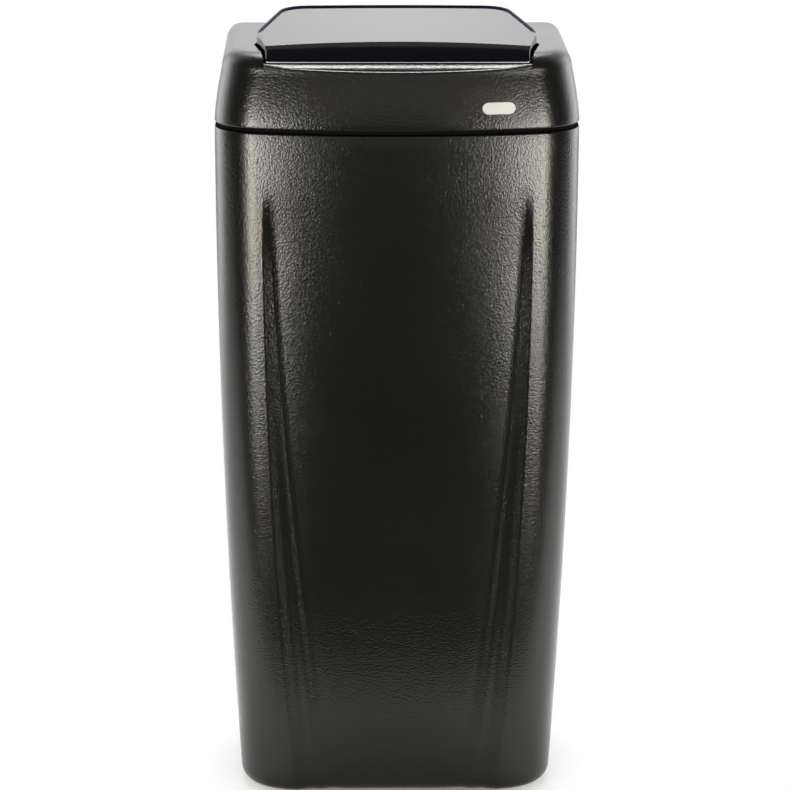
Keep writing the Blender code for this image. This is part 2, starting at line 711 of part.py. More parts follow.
def hinge_ears():
    """Four ears under the rear of the hood's top, two to a hinge pin."""
    reach = KNUCKLE_LENGTH / 2 + RUNNING_GAP
    for side in (-1, 1):
        for inner in (-reach - EAR_THICKNESS, reach):
            near = side * HINGE_X + inner
            far = near + EAR_THICKNESS
            low = (near, HINGE_Y - EAR_FRONT_REACH, HINGE_Z)
            high = (far, HINGE_Y + EAR_REAR_REACH, HOOD_TOP - HOOD_WALL + EAR_ROOT)
            yield box("hood_ear", low, high)
            start, end = (near, HINGE_Y, HINGE_Z), (far, HINGE_Y, HINGE_Z)
            yield cylinder("hood_ear_round", KNUCKLE_RADIUS, start, end)


def boss_places():
    return [(x, y) for x in (-BOSS_X, BOSS_X) for y in (-BOSS_FRONT_Y, -BOSS_REAR_Y)]


def latch_screw_places():
    y = LATCH_BACK - LATCH_SCREW_SET_IN
    return [(x, y) for x in (-LATCH_SCREW_SPREAD / 2, LATCH_SCREW_SPREAD / 2)]


def make_hood():
    hood = loft("hood_shell", hood_outer_rings(), HOOD_AXIS, TEXTURED_BLACK)
    front = DEPTH + OVERRUN
    high = HOOD_TOP + OVERRUN
    boolean(hood, "DIFFERENCE", flap_well("hood_recess", FLAP_GAP, front, RECESS_FLOOR, high))
    cavity = loft("hood_cavity", hood_cavity_rings())
    around = flap_well("hood_recess_walls", FLAP_GAP + HOOD_WALL, front, RECESS_UNDERSIDE, high)
    boolean(cavity, "DIFFERENCE", around)
    boolean(hood, "DIFFERENCE", cavity, hood_rear_opening())
    low = RECESS_UNDERSIDE - OVERRUN
    boolean(hood, "DIFFERENCE", flap_well("hood_opening", FLAP_GAP, -LEDGE_BACK, low, high))
    boolean(hood, "UNION", *hinge_ears())
    for x, y in boss_places():
        top = (x, y, HOOD_TOP - HOOD_WALL + EAR_ROOT)
        boolean(hood, "UNION", cylinder("hood_boss", BOSS_RADIUS, (x, y, RECESS_UNDERSIDE), top))
        end = (x, y, FRAME_UNDER_FLANGE + BOSS_SCREW_LENGTH)
        bore = cylinder("boss_bore", BORE_RADIUS, (x, y, FRAME_BOTTOM), end, sides=ROUND_SIDES)
        boolean(hood, "DIFFERENCE", bore)
    for x, y in latch_screw_places():
        end = (x, y, RECESS_FLOOR - SCREW_END_GAP)
        bore = cylinder("ledge_bore", BORE_RADIUS, (x, y, FRAME_BOTTOM), end, sides=ROUND_SIDES)
        boolean(hood, "DIFFERENCE", bore)
    reach = HINGE_X + KNUCKLE_LENGTH / 2 + EAR_THICKNESS + OVERRUN
    ends = (-reach, HINGE_Y, HINGE_Z), (reach, HINGE_Y, HINGE_Z)
    boolean(hood, "DIFFERENCE", cylinder("ear_bore", HINGE_PIN_RADIUS + RUNNING_GAP, *ends, sides=BORE_SIDES))


def pin_profile(radius, head_radius, head_length, length):
    end = head_length + length
    head = [(0, 0), (head_radius, 0), (head_radius, head_length)]
    return head + [(radius, head_length), (radius, end), (0, end)]


def make_hinges():
    """Steel leaves screwed to the body's back panel, and the pins that the hood turns on."""
    leaf_back = PANEL_FRONT - SEATED_GAP
    leaf_front = leaf_back - LEAF_THICKNESS
    foot_low = LEAF_FOOT_TOP - LEAF_FOOT_THICKNESS
    half_foot = LEAF_FOOT_THICKNESS / 2
    for name, side in (("left", -1), ("right", 1)):
        middle = side * HINGE_X
        near, far = middle - KNUCKLE_LENGTH / 2, middle + KNUCKLE_LENGTH / 2
        low = (middle - LEAF_WIDTH / 2, leaf_front, LEAF_FOOT_TOP - LEAF_HEIGHT)
        high = (middle + LEAF_WIDTH / 2, leaf_back, LEAF_FOOT_TOP)
        leaf = box(f"hinge_leaf_{name}", low, high, skin=PIN_STEEL)
        foot = box("leaf_foot", (near, HINGE_Y - half_foot, foot_low), (far, leaf_back, LEAF_FOOT_TOP))
        rise = box("leaf_rise", (near, HINGE_Y - half_foot, foot_low), (far, HINGE_Y + half_foot, HINGE_Z))
        ends = (near, HINGE_Y, HINGE_Z), (far, HINGE_Y, HINGE_Z)
        boolean(leaf, "UNION", foot, rise, cylinder("leaf_knuckle", KNUCKLE_RADIUS, *ends))
        ends = (near - OVERRUN, HINGE_Y, HINGE_Z), (far + OVERRUN, HINGE_Y, HINGE_Z)
        bore = cylinder("leaf_pin_bore", HINGE_PIN_RADIUS + RUNNING_GAP, *ends, sides=BORE_SIDES)
        boolean(leaf, "DIFFERENCE", bore)
        head_y = leaf_front - SEATED_GAP - SCREW_HEAD_HEIGHT
        length = BODY_BACK - SCREW_END_GAP - head_y - SCREW_HEAD_HEIGHT
        for place, offset in (("a", -LEAF_SCREW_SPREAD / 2), ("b", LEAF_SCREW_SPREAD / 2)):
            x = middle + offset
            boolean(leaf, "DIFFERENCE", screw_bore("leaf_screw_bore", x, LEAF_SCREW_Z, BORE_RADIUS))
            screw(f"hinge_screw_{name}_{place}", (x, head_y, LEAF_SCREW_Z), (0, 1, 0), length, ROOT)
        ear_span = KNUCKLE_LENGTH + 2 * (RUNNING_GAP + EAR_THICKNESS)
        start = side * (HINGE_X + ear_span / 2 + SEATED_GAP + HINGE_PIN_HEAD_LENGTH)
        profile = pin_profile(
            HINGE_PIN_RADIUS, HINGE_PIN_HEAD_RADIUS, HINGE_PIN_HEAD_LENGTH, ear_span + PIN_END_REACH
        )
        turned(f"hinge_pin_{name}", profile, (start, HINGE_Y, HINGE_Z), (-side, 0, 0), HOOD_AXIS, PIN_STEEL)


def make_badge():
    """A blank level plate with round ends, on the right of the hood's front."""
    z = SEAM_HEIGHT + BADGE_RISE
    angle = math.asin(BADGE_X / BOW_RADIUS)
    y = front_at(z) + BOW_RADIUS * (1 - math.cos(angle))
    lean = front_at(z + BADGE_HEIGHT / 2) - front_at(z - BADGE_HEIGHT / 2)
    outward = Vector((math.sin(angle), -math.cos(angle), lean / BADGE_HEIGHT)).normalized()
    radius = BADGE_HEIGHT / 2
    reach = BADGE_LENGTH / 2 - radius
    outline = []
    for middle, first in ((reach, -math.pi / 2), (-reach, math.pi / 2)):
        for step in range(CORNER_STEPS + 1):
            turn = first + math.pi * step / CORNER_STEPS
            outline.append((middle + radius * math.cos(turn), radius * math.sin(turn)))
    rings = [[(x, depth, up) for x, up in outline] for depth in (0, -BADGE_THICKNESS)]
    plate = loft("badge_plate", rings, HOOD_AXIS, BADGE_GREY)
    place = Vector((BADGE_X, y, z)) + outward * SEATED_GAP
    plate.location = place - Vector(HOOD_AXIS["place"])
    plate.rotation_euler = outward.to_track_quat("-Y", "Z").to_euler()


# The frame under the hood, its bushes and bumpers


def make_chute_frame():
    """A U of two side walls and a rear wall, with a flange that is screwed up to the hood's bosses."""
    outer = FRAME_HALF_WIDTH + FRAME_WALL
    flange_half = FRAME_HALF_WIDTH + FLANGE_SIDE_REACH
    rear = -(FRAME_REAR_Y - FRAME_WALL)
    front = -FRAME_FRONT_Y
    low = (-flange_half, front, FRAME_UNDER_FLANGE)
    frame = box("chute_frame", low, (flange_half, rear, FRAME_TOP), HOOD_AXIS, INNER_BLACK)
    middle = (FRAME_UNDER_FLANGE + FRAME_TOP) / 2
    boolean(frame, "UNION", box("frame_walls", (-outer, front, FRAME_BOTTOM), (outer, rear, middle)))
    cut_front = front - OVERRUN
    low = (-FRAME_HALF_WIDTH, cut_front, FRAME_BOTTOM - OVERRUN)
    high = (FRAME_HALF_WIDTH, -(FRAME_REAR_Y + FRAME_REAR_LEDGE), FRAME_TOP + OVERRUN)
    boolean(frame, "DIFFERENCE", box("frame_opening", low, high))
    high = (FRAME_HALF_WIDTH, -FRAME_REAR_Y, FRAME_UNDER_FLANGE)
    boolean(frame, "DIFFERENCE", box("frame_inside", low, high))
    for x, y in boss_places():
        ends = (x, y, FRAME_BOTTOM), (x, y, FRAME_TOP + OVERRUN)
        boolean(frame, "DIFFERENCE", cylinder("frame_screw_bore", BORE_RADIUS, *ends))
    reach = outer + OVERRUN
    ends = (-reach, -PIVOT_Y, PIVOT_Z), (reach, -PIVOT_Y, PIVOT_Z)
    radius = PIVOT_PIN_RADIUS + RUNNING_GAP + BUSH_WALL + SEATED_GAP
    boolean(frame, "DIFFERENCE", cylinder("bush_bore", radius, *ends, sides=BORE_SIDES))


def make_frame_fittings():
    head_z = FRAME_UNDER_FLANGE - SEATED_GAP - SCREW_HEAD_HEIGHT
    for number, (x, y) in enumerate(boss_places(), 1):
        screw(f"frame_screw_{number}", (x, y, head_z), (0, 0, 1), BOSS_SCREW_LENGTH, HOOD_AXIS)
    bore = PIVOT_PIN_RADIUS + RUNNING_GAP
    flange = BUSH_FLANGE_THICKNESS
    end = flange + SEATED_GAP + FRAME_WALL + BUSH_PROJECTION
    outside = bore + BUSH_WALL
    profile = [(BUSH_FLANGE_RADIUS, 0), (BUSH_FLANGE_RADIUS, flange), (outside, flange)]
    profile += [(outside, end), (bore, end), (bore, 0)]
    for name, side in (("left", -1), ("right", 1)):
        start = side * (FRAME_HALF_WIDTH - SEATED_GAP - flange)
        place = (start, -PIVOT_Y, PIVOT_Z)
        turned(f"pivot_bush_{name}", profile, place, (side, 0, 0), HOOD_AXIS, BUSH_WHITE, ring=True)
        x, y = side * BUMPER_X, -(FLAP_REAR + BUMPER_FROM_FLAP_REAR)
        ends = (x, y, FRAME_TOP + SEATED_GAP), (x, y, FLAP_BASE - SEATED_GAP)
        cylinder(f"flap_bumper_{name}", BUMPER_RADIUS, *ends, HOOD_AXIS, SOFT_BLACK)


# The slide latch under the hood's front ledge


def make_latch():
    top = RECESS_UNDERSIDE - SEATED_GAP
    slot_half = BOLT_HALF_WIDTH + RUNNING_GAP
    slot_low = BOLT_Z - BOLT_THICKNESS / 2 - RUNNING_GAP
    slot_high = BOLT_Z + BOLT_THICKNESS / 2 + RUNNING_GAP
    low = (-LATCH_HALF_WIDTH, LATCH_FRONT, slot_low - LATCH_WALL)
    high = (LATCH_HALF_WIDTH, LATCH_BACK, slot_high + LATCH_WALL)
    housing = box("latch_housing", low, high, HOOD_AXIS, INNER_BLACK)
    low = (-LATCH_HALF_WIDTH, LATCH_FRONT, slot_high + LATCH_WALL / 2)
    stem = box("latch_stem", low, (LATCH_HALF_WIDTH, LATCH_FRONT + LATCH_WALL, top))
    high = (LATCH_HALF_WIDTH, LATCH_BACK + LATCH_FOOT_REACH, top)
    foot = box("latch_foot", (-LATCH_HALF_WIDTH, LATCH_FRONT, top - LATCH_WALL), high)
    boolean(housing, "UNION", stem, foot)
    low = (-slot_half, LATCH_FRONT - OVERRUN, slot_low)
    boolean(housing, "DIFFERENCE", box("bolt_slot", low, (slot_half, LATCH_BACK + OVERRUN, slot_high)))
    head_z = top - LATCH_WALL - SEATED_GAP - SCREW_HEAD_HEIGHT
    length = RECESS_FLOOR - 2 * SCREW_END_GAP - head_z - SCREW_HEAD_HEIGHT
    for name, (x, y) in zip(("left", "right"), latch_screw_places()):
        ends = (x, y, slot_high + LATCH_WALL), (x, y, top + OVERRUN)
        boolean(housing, "DIFFERENCE", cylinder("latch_screw_bore", BORE_RADIUS, *ends))
        screw(f"latch_screw_{name}", (x, y, head_z), (0, 0, 1), length, HOOD_AXIS)
    low = (-BOLT_HALF_WIDTH, BOLT_TIP, BOLT_Z - BOLT_THICKNESS / 2)
    high = (BOLT_HALF_WIDTH, BOLT_END, BOLT_Z + BOLT_THICKNESS / 2)
    bolt = box("latch_bolt", low, high, LATCH_SLIDE, INNER_BLACK)
    low = (-BOLT_HALF_WIDTH, BOLT_END - GRIP_THICKNESS, BOLT_Z - BOLT_THICKNESS / 2)
    high = (BOLT_HALF_WIDTH, BOLT_END, BOLT_Z - BOLT_THICKNESS / 2 + GRIP_HEIGHT)
    boolean(bolt, "UNION", box("bolt_grip", low, high))


# The see-saw flap


def flap_outline(z, inset):
    """The flap's outline at a height: its walls lean in by the draft over its full height."""
    draw_in = inset + FLAP_DRAFT * (z - FLAP_BASE) / FLAP_REAR_HEIGHT
    return flap_plan(-draw_in, FLAP_FRONT - draw_in)


def above_flap(inset):
    """A cutter for all that lies over the flap's sloping top and in front of its rounded front edge."""
    rise = FLAP_REAR_HEIGHT - FLAP_FRONT_HEIGHT
    slope = math.atan2(rise, FLAP_FRONT - FLAP_REAR)
    drop = inset / math.cos(slope) - inset * math.tan(slope)
    radius = FLAP_BEND - inset
    front = -FLAP_FRONT + inset
    corner = FLAP_BASE + FLAP_FRONT_HEIGHT - drop
    turn = math.pi / 2 - slope
    low = corner - radius * math.tan(turn / 2)
    side = [(front - OVERRUN, low)]
    for step in range(CORNER_STEPS + 1):
        angle = math.pi - turn * step / CORNER_STEPS
        side.append((front + radius + radius * math.cos(angle), low + radius * math.sin(angle)))
    rear = -FLAP_REAR + OVERRUN
    side.append((rear, corner + (rear - front) * math.tan(slope)))
    top = FLAP_BASE + FLAP_REAR_HEIGHT + 2 * OVERRUN
    side += [(rear, top), (front - OVERRUN, top)]
    reach = FLAP_WIDEST_HALF + OVERRUN
    return loft("above_flap", [[(x, y, z) for y, z in side] for x in (-reach, reach)])


def flap_solid(name, inset, low, parent=ROOT, skin=None):
    high = FLAP_BASE + FLAP_REAR_HEIGHT + OVERRUN
    rings = [at_height(flap_outline(z, inset), z) for z in (low, high)]
    solid = loft(name, rings, parent, skin)
    boolean(solid, "DIFFERENCE", above_flap(inset))
    return solid


def make_flap():
    panel = flap_solid("flap_panel", 0, FLAP_BASE, FLAP_AXIS, GLOSS_BLACK)
    boolean(panel, "DIFFERENCE", flap_solid("flap_hollow", FLAP_WALL, FLAP_BASE - OVERRUN))
    fit = FLAP_WALL + SEATED_GAP
    rings = [at_height(flap_outline(z, fit), z) for z in (FLAP_BASE, TRAY_TOP)]
    tray = loft("flap_tray", rings, FLAP_AXIS, INNER_BLACK)
    half = FLAP_EAR_THICKNESS / 2
    for middle in (-FLAP_EAR_X, FLAP_EAR_X):
        near, far = middle - half, middle + half
        low = (near, -PIVOT_Y - FLAP_EAR_RADIUS, PIVOT_Z)
        high = (far, -PIVOT_Y + FLAP_EAR_RADIUS, FLAP_BASE + TRAY_THICKNESS / 2)
        ends = (near, -PIVOT_Y, PIVOT_Z), (far, -PIVOT_Y, PIVOT_Z)
        round_end = cylinder("flap_ear_round", FLAP_EAR_RADIUS, *ends, sides=BORE_SIDES)
        boolean(tray, "UNION", box("flap_ear", low, high), round_end)
    reach = FLAP_EAR_X + FLAP_EAR_THICKNESS
    ends = (-reach, -PIVOT_Y, PIVOT_Z), (reach, -PIVOT_Y, PIVOT_Z)
    pin_bore = cylinder("flap_pin_bore", PIVOT_PIN_RADIUS + RUNNING_GAP, *ends, sides=BORE_SIDES)
    boolean(tray, "DIFFERENCE", pin_bore)
    inner = FLAP_EAR_X - half - SEATED_GAP - PIVOT_PIN_HEAD_LENGTH
    length = FRAME_HALF_WIDTH + FRAME_WALL + PIVOT_PIN_OUTER_REACH - inner - PIVOT_PIN_HEAD_LENGTH
    profile = pin_profile(PIVOT_PIN_RADIUS, PIVOT_PIN_HEAD_RADIUS, PIVOT_PIN_HEAD_LENGTH, length)
    for name, side in (("left", -1), ("right", 1)):
        place = (side * inner, -PIVOT_Y, PIVOT_Z)
        turned(f"flap_pin_{name}", profile, place, (side, 0, 0), FLAP_AXIS, PIN_STEEL)
    return tray


def make_counterweight(tray):
    rear = -(FLAP_REAR + WEIGHT_FROM_REAR)
    floor = TRAY_TOP + SEATED_GAP
    low = (-WEIGHT_LENGTH / 2, rear - WEIGHT_DEPTH, floor)
    high = (WEIGHT_LENGTH / 2, rear, floor + WEIGHT_HEIGHT)
    weight = box("counterweight", low, high, FLAP_AXIS, PLATE_STEEL)
    head_z = FLAP_BASE - SEATED_GAP - SCREW_HEAD_HEIGHT
    length = floor + WEIGHT_SCREW_BITE - head_z - SCREW_HEAD_HEIGHT
    y = rear - WEIGHT_DEPTH / 2
    for name, x in (("left", -WEIGHT_SCREW_SPREAD / 2), ("right", WEIGHT_SCREW_SPREAD / 2)):
        ends = (x, y, FLAP_BASE - OVERRUN), (x, y, floor + WEIGHT_SCREW_BITE + SCREW_END_GAP)
        boolean(tray, "DIFFERENCE", cylinder("tray_bore", BORE_RADIUS, *ends))
        boolean(weight, "DIFFERENCE", cylinder("weight_bore", BORE_RADIUS, *ends))
        screw(f"weight_screw_{name}", (x, y, head_z), (0, 0, 1), length, FLAP_AXIS)


# The bag frame inside the body


def make_bag_frame():
    """A wire loop just inside the body's walls, held by two clips that its rear side turns in."""
    back = BAG_FRAME_SET_IN - BAG_AXIS_SET_IN
    outline = section(FLUTE_TOP, BAG_FRAME_SET_IN, back, BAG_FRAME_SET_IN + BAG_REAR_RADIUS)
    curve = bpy.data.curves.new("bag_frame", "CURVE")
    curve.dimensions = "3D"
    curve.bevel_depth = BAG_WIRE_RADIUS
    curve.bevel_resolution = WIRE_RESOLUTION
    wire = curve.splines.new("POLY")
    wire.points.add(len(outline) - 1)
    for point, (x, y) in zip(wire.points, outline):
        point.co = (x, y + BAG_AXIS_SET_IN, 0, 1)
    wire.use_cyclic_u = True
    add_object("bag_frame", curve, BAG_AXIS, PIN_STEEL, BAG_AXIS["place"])


def make_bag_brackets():
    y = -BAG_AXIS_SET_IN
    back = BODY_INNER_BACK - SEATED_GAP
    half = BRACKET_WIDTH / 2
    head_y = back - BRACKET_LEG_THICKNESS - SEATED_GAP - SCREW_HEAD_HEIGHT
    length = BODY_BACK - SCREW_END_GAP - head_y - SCREW_HEAD_HEIGHT
    for name, x in (("left", -BRACKET_X), ("right", BRACKET_X)):
        low = (x - half, y - BRACKET_WRAP, BAG_FRAME_Z - BRACKET_WRAP)
        high = (x + half, back, BAG_FRAME_Z + BRACKET_WRAP)
        clip = box(f"bag_bracket_{name}", low, high, skin=INNER_BLACK)
        low = (x - half, back - BRACKET_LEG_THICKNESS, BAG_FRAME_Z - BRACKET_WRAP - BRACKET_LEG_LENGTH)
        boolean(clip, "UNION", box("bracket_leg", low, (x + half, back, BAG_FRAME_Z)))
        reach = half + OVERRUN
        ends = (x - reach, y, BAG_FRAME_Z), (x + reach, y, BAG_FRAME_Z)
        bore = cylinder("clip_bore", BAG_WIRE_RADIUS + RUNNING_GAP, *ends, sides=BORE_SIDES)
        boolean(clip, "DIFFERENCE", bore)
        low = (x - reach, y - BRACKET_MOUTH / 2, BAG_FRAME_Z)
        high = (x + reach, y + BRACKET_MOUTH / 2, BAG_FRAME_Z + BRACKET_WRAP + OVERRUN)
        boolean(clip, "DIFFERENCE", box("clip_mouth", low, high))
        z = BAG_FRAME_Z - BRACKET_SCREW_DROP
        boolean(clip, "DIFFERENCE", screw_bore("clip_screw_bore", x, z, BORE_RADIUS))
        screw(f"bracket_screw_{name}", (x, head_y, z), (0, 1, 0), length, ROOT)


make_wall_plate()
make_body()
make_fixing()
make_hood()
make_hinges()
make_badge()
make_chute_frame()
make_frame_fittings()
make_latch()
make_counterweight(make_flap())
make_bag_frame()
make_bag_brackets()
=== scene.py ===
"""The looks of the wall-mounted waste bin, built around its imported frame.

Metres, +Z up, the front faces -Y. Outlines use heights above the bin's base, and BASE_Z lowers each
piece into the frame."""

import json
import math

import bmesh
import bpy
from mathutils import Matrix, Vector


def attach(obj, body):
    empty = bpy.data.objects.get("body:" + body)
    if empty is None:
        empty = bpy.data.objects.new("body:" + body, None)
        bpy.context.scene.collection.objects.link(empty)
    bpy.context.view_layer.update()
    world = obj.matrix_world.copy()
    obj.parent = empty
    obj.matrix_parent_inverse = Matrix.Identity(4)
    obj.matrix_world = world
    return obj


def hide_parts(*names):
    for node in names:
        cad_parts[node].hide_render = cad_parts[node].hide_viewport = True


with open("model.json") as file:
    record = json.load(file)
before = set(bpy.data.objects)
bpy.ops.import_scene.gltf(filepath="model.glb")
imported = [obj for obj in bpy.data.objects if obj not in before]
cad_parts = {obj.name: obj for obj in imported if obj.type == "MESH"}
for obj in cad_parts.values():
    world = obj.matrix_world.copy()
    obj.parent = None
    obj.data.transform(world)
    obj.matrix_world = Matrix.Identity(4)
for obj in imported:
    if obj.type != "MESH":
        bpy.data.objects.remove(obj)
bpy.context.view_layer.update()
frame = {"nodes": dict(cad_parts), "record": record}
NODES = frame["nodes"]

# Sizes shared with the CAD source
BASE_Z = -0.430
WIDTH = 0.330
DEPTH = 0.250
BOW_RADIUS = 0.520
CORNER_RADIUS = 0.049
REAR_RADIUS = 0.012
BODY_HEIGHT = 0.632
BODY_WALL = 0.003
BASE_FILLET = 0.014
FLOOR_THICKNESS = 0.004
SIDE_TAPER = 0.020
FRONT_TAPER = 0.026
RIM_THICKNESS = 0.0067
RIM_BAND = 0.008
RIM_CHAMFER = 0.006
LIP_SET_IN = 0.0042
LIP_HEIGHT = 0.016
FLUTE_TOP = 0.576
FLUTE_TOP_X = 0.117
FLUTE_TIP_WIDTH = 0.002
FLUTE_INNER_DRIFT = 0.054
FLUTE_INNER_POWER = 1.5
FLUTE_DEPTH = 0.009
SEAM_HEIGHT = 0.636
HOOD_TOP = 0.702
HOOD_WALL = 0.003
HOOD_LEAN = 0.007
HOOD_LEAN_RISE = 0.050
HOOD_LEAN_POWER = 1.5
HOOD_FILLET = 0.016
HOOD_BACK = -0.0105
BODY_BACK = -0.0023
REAR_RIM_HEIGHT = 0.010
RECESS_FLOOR = 0.690
LEDGE_BACK = -0.226
FLAP_FRONT = 0.222
FLAP_REAR = 0.062
FLAP_WIDEST = 0.167
FLAP_FRONT_HALF = 0.118
FLAP_WIDEST_HALF = 0.1266
FLAP_REAR_HALF = 0.103
FLAP_BASE = 0.693
FLAP_FRONT_HEIGHT = 0.017
FLAP_REAR_HEIGHT = 0.031
FLAP_WALL = 0.003
FLAP_GAP = 0.003

# Sizes of the finer forms
FLUTE_OUTER_X = 0.1213
FLUTE_OUTER_DRIFT = 0.028
FLUTE_OUTER_POWER = 2.1
FLUTE_DEPTH_POWER = 0.75
FLUTE_FIRST_STEP = 0.4
FLUTE_FIRST_END = 0.3
FLUTE_SECOND_START = 0.6
FLUTE_STEPPED_FROM = 0.35
FLUTE_STEPPED_FULL = 0.75
FLUTE_LEAST_WIDTH = 0.001
PANEL_SHOULDER = 0.0018
PANEL_SHOULDER_POWER = 6
PANEL_SHOULDER_FULL = 0.1
OVERRUN = 0.004
EDGE_ROUND = 0.0014
RIM_BACK_TOP = 0.693
RIM_BEAD_DEPTH = 0.005
RIM_BEAD_FALL = 0.0029
RIM_BEAD_BULGE = 0.0009
RIM_TOP_SLOPE = 0.21
RIM_FRONT_ROUND = 0.0025
RIM_LEAST_DEPTH = 0.002
RIM_ROUND_SHARE = 0.6
RIM_CHEEK_MARGIN = 0.0015
FLAP_CROWN = 0.0044
FLAP_CROWN_FADE = 0.75
FLAP_FOOT_STEP = 0.0016
FLAP_FOOT_RISE = 0.0006
FLAP_FOOT_SLOPE = 0.8
FLAP_EDGE_ROUND = 0.0005
FLAP_FRONT_CORNER = 0.0012
FLAP_SIDE_CORNER = 0.004
FLAP_REAR_CORNER = 0.024
LIP_RISE = 0.0014
LIP_WIDTH = 0.0012
LIP_CLEARANCE = 0.0005
LIP_RUN_OUT = 0.012
WELL_CORNER = 0.004
WELL_SIDE_CORNER_FACTOR = 4
WELL_FRONT_CORNER = 0.0002
REAR_OPENING_INSET = 0.0002
HOOD_SOFTENED = 0.0009
WELD = 0.000002

# The body's holes and back panel, and the block behind the hood's rim; corners are x, y and z
BACK_PANEL = (-0.148, -0.0055, 0.624), (0.148, -0.0025, 0.684)
LATCH_WINDOW = (-0.0135, -0.2498, 0.6365), (0.0135, -0.2393, 0.642)
HOOK_X = 0.070
HOOK_SLOT_HALF = 0.017
HOOK_SLOT_Y = -0.0093, 0.001
HOOK_SLOT_Z = 0.4623, 0.4803
BORE_Y = -0.014, 0.004
FIXING_BORE_Z = 0.335
FIXING_BORE_RADIUS = 0.0028
SCREW_BORE_RADIUS = 0.0019
BRACKET_SCREW_X = 0.070
BRACKET_SCREW_Z = 0.527
HINGE_SCREW_X = 0.115
HINGE_SCREW_OFFSETS = -0.01, 0.01
HINGE_SCREW_Z = 0.656
BEHIND_RIM = (-0.124, -0.252, 0.674), (0.124, -0.229, HOOD_TOP + OVERRUN)

# Counts
PANEL_STEPS = 18
FLUTE_STEPS = 14
PILLAR_STEPS = 5
CORNER_STEPS = 18
REAR_STEPS = 6
FILLET_STEPS = 9
EDGE_STEPS = 4
BODY_LEVELS = 44
BODY_TOP_LEVELS = 4
BODY_INNER_LEVELS = 24
HOOD_LEVELS = 12
HOOD_FILLET_STEPS = 12
REAR_OPENING_LEVELS = 8
RIM_STEPS = 40
BEAD_STEPS = 6
FLAP_RUNS = 24
FLAP_TOP_RINGS = 16
FLOOR_SIDES = 120


# The bin's outline


def share_of(z, start, end):
    return min(max((z - start) / (end - start), 0), 1)


def lean_at(z):
    return HOOD_LEAN * (max(z - SEAM_HEIGHT, 0) / HOOD_LEAN_RISE) ** HOOD_LEAN_POWER


def half_width_at(z):
    return WIDTH / 2 - SIDE_TAPER * share_of(z, SEAM_HEIGHT, 0) ** 2 - lean_at(z)


def front_at(z):
    return -DEPTH + FRONT_TAPER * share_of(z, SEAM_HEIGHT, 0) ** 2 + lean_at(z)


def section(z, inset=0, back=BODY_BACK):
    """The outline at a height, drawn in by an inset, anticlockwise from the rear left."""
    half = half_width_at(z) - inset
    front = front_at(z) + inset
    bow = BOW_RADIUS - inset
    corner = max(CORNER_RADIUS - inset, REAR_RADIUS)
    rear = max(REAR_RADIUS - inset, BODY_WALL)
    rear_y = back - inset
    grown = share_of(z, FLUTE_TOP, 0)
    inner = FLUTE_TOP_X - FLUTE_TIP_WIDTH - FLUTE_INNER_DRIFT * grown**FLUTE_INNER_POWER
    depth = FLUTE_DEPTH * grown**FLUTE_DEPTH_POWER
    turned = PANEL_SHOULDER * share_of(grown, 0, PANEL_SHOULDER_FULL)
    turn = math.asin((half - corner) / (bow - corner))
    outer = FLUTE_OUTER_X - FLUTE_OUTER_DRIFT * grown**FLUTE_OUTER_POWER
    outer = min(outer, bow * math.sin(turn) - FLUTE_LEAST_WIDTH)
    inner = min(inner, outer - FLUTE_LEAST_WIDTH)
    corner_y = front + bow - math.sqrt((bow - corner) ** 2 - (half - corner) ** 2)

    def bow_y(x):
        return front + bow - math.sqrt(bow**2 - x**2)

    points = []
    for step in range(PANEL_STEPS):
        x = inner * step / PANEL_STEPS
        shoulder = turned * (1 - (step / PANEL_STEPS) ** PANEL_SHOULDER_POWER)
        bowed = (bow_y(x) - bow_y(inner)) * (1 - grown)
        points.append((x, bow_y(inner) + depth + turned - shoulder + bowed))
    for step in range(FLUTE_STEPS + 1):
        share = step / FLUTE_STEPS
        first = share_of(share, 0, FLUTE_FIRST_END)
        second = share_of(share, FLUTE_SECOND_START, 1)
        stepped = FLUTE_FIRST_STEP * first + (1 - FLUTE_FIRST_STEP) * second
        blend = share_of(grown, FLUTE_STEPPED_FROM, FLUTE_STEPPED_FULL)
        risen = share + (stepped - share) * blend
        x = inner + (outer - inner) * share
        points.append((x, bow_y(x) + (depth + turned) * (1 - risen)))
    start = math.asin(outer / bow)
    for step in range(1, PILLAR_STEPS + 1):
        angle = start + (turn - start) * step / PILLAR_STEPS
        points.append((bow * math.sin(angle), front + bow - bow * math.cos(angle)))
    for step in range(1, CORNER_STEPS + 1):
        angle = turn + (math.pi / 2 - turn) * step / CORNER_STEPS
        across = half - corner + corner * math.sin(angle)
        points.append((across, corner_y - corner * math.cos(angle)))
    for step in range(REAR_STEPS + 1):
        angle = math.pi / 2 * step / REAR_STEPS
        across = half - rear + rear * math.cos(angle)
        points.append((across, rear_y - rear + rear * math.sin(angle)))
    return [(-x, y) for x, y in points[:0:-1]] + points


def fillet(radius, steps=FILLET_STEPS):
    """Pairs of rise and inset along a quarter round."""
    angles = [math.pi / 2 * step / steps for step in range(steps + 1)]
    return [(radius * math.sin(angle), radius * (1 - math.cos(angle))) for angle in angles]


# Meshes


def loft(name, rings):
    """A closed solid through rings of points with the same count, lowered into the frame."""
    made = bmesh.new()
    loops = [[made.verts.new((x, y, z + BASE_Z)) for x, y, z in ring] for ring in rings]
    for lower, upper in zip(loops, loops[1:]):
        for index in range(len(lower)):
            after = (index + 1) % len(lower)
            made.faces.new((lower[index], lower[after], upper[after], upper[index]))
    made.faces.new(loops[0][::-1])
    made.faces.new(loops[-1])
    bmesh.ops.remove_doubles(made, verts=made.verts, dist=WELD)
    bmesh.ops.recalc_face_normals(made, faces=made.faces)
    mesh = bpy.data.meshes.new(name)
    made.to_mesh(mesh)
    made.free()
    obj = bpy.data.objects.new(name, mesh)
    bpy.context.scene.collection.objects.link(obj)
    return obj


def at_height(outline, z):
    return [(x, y, z) for x, y in outline]


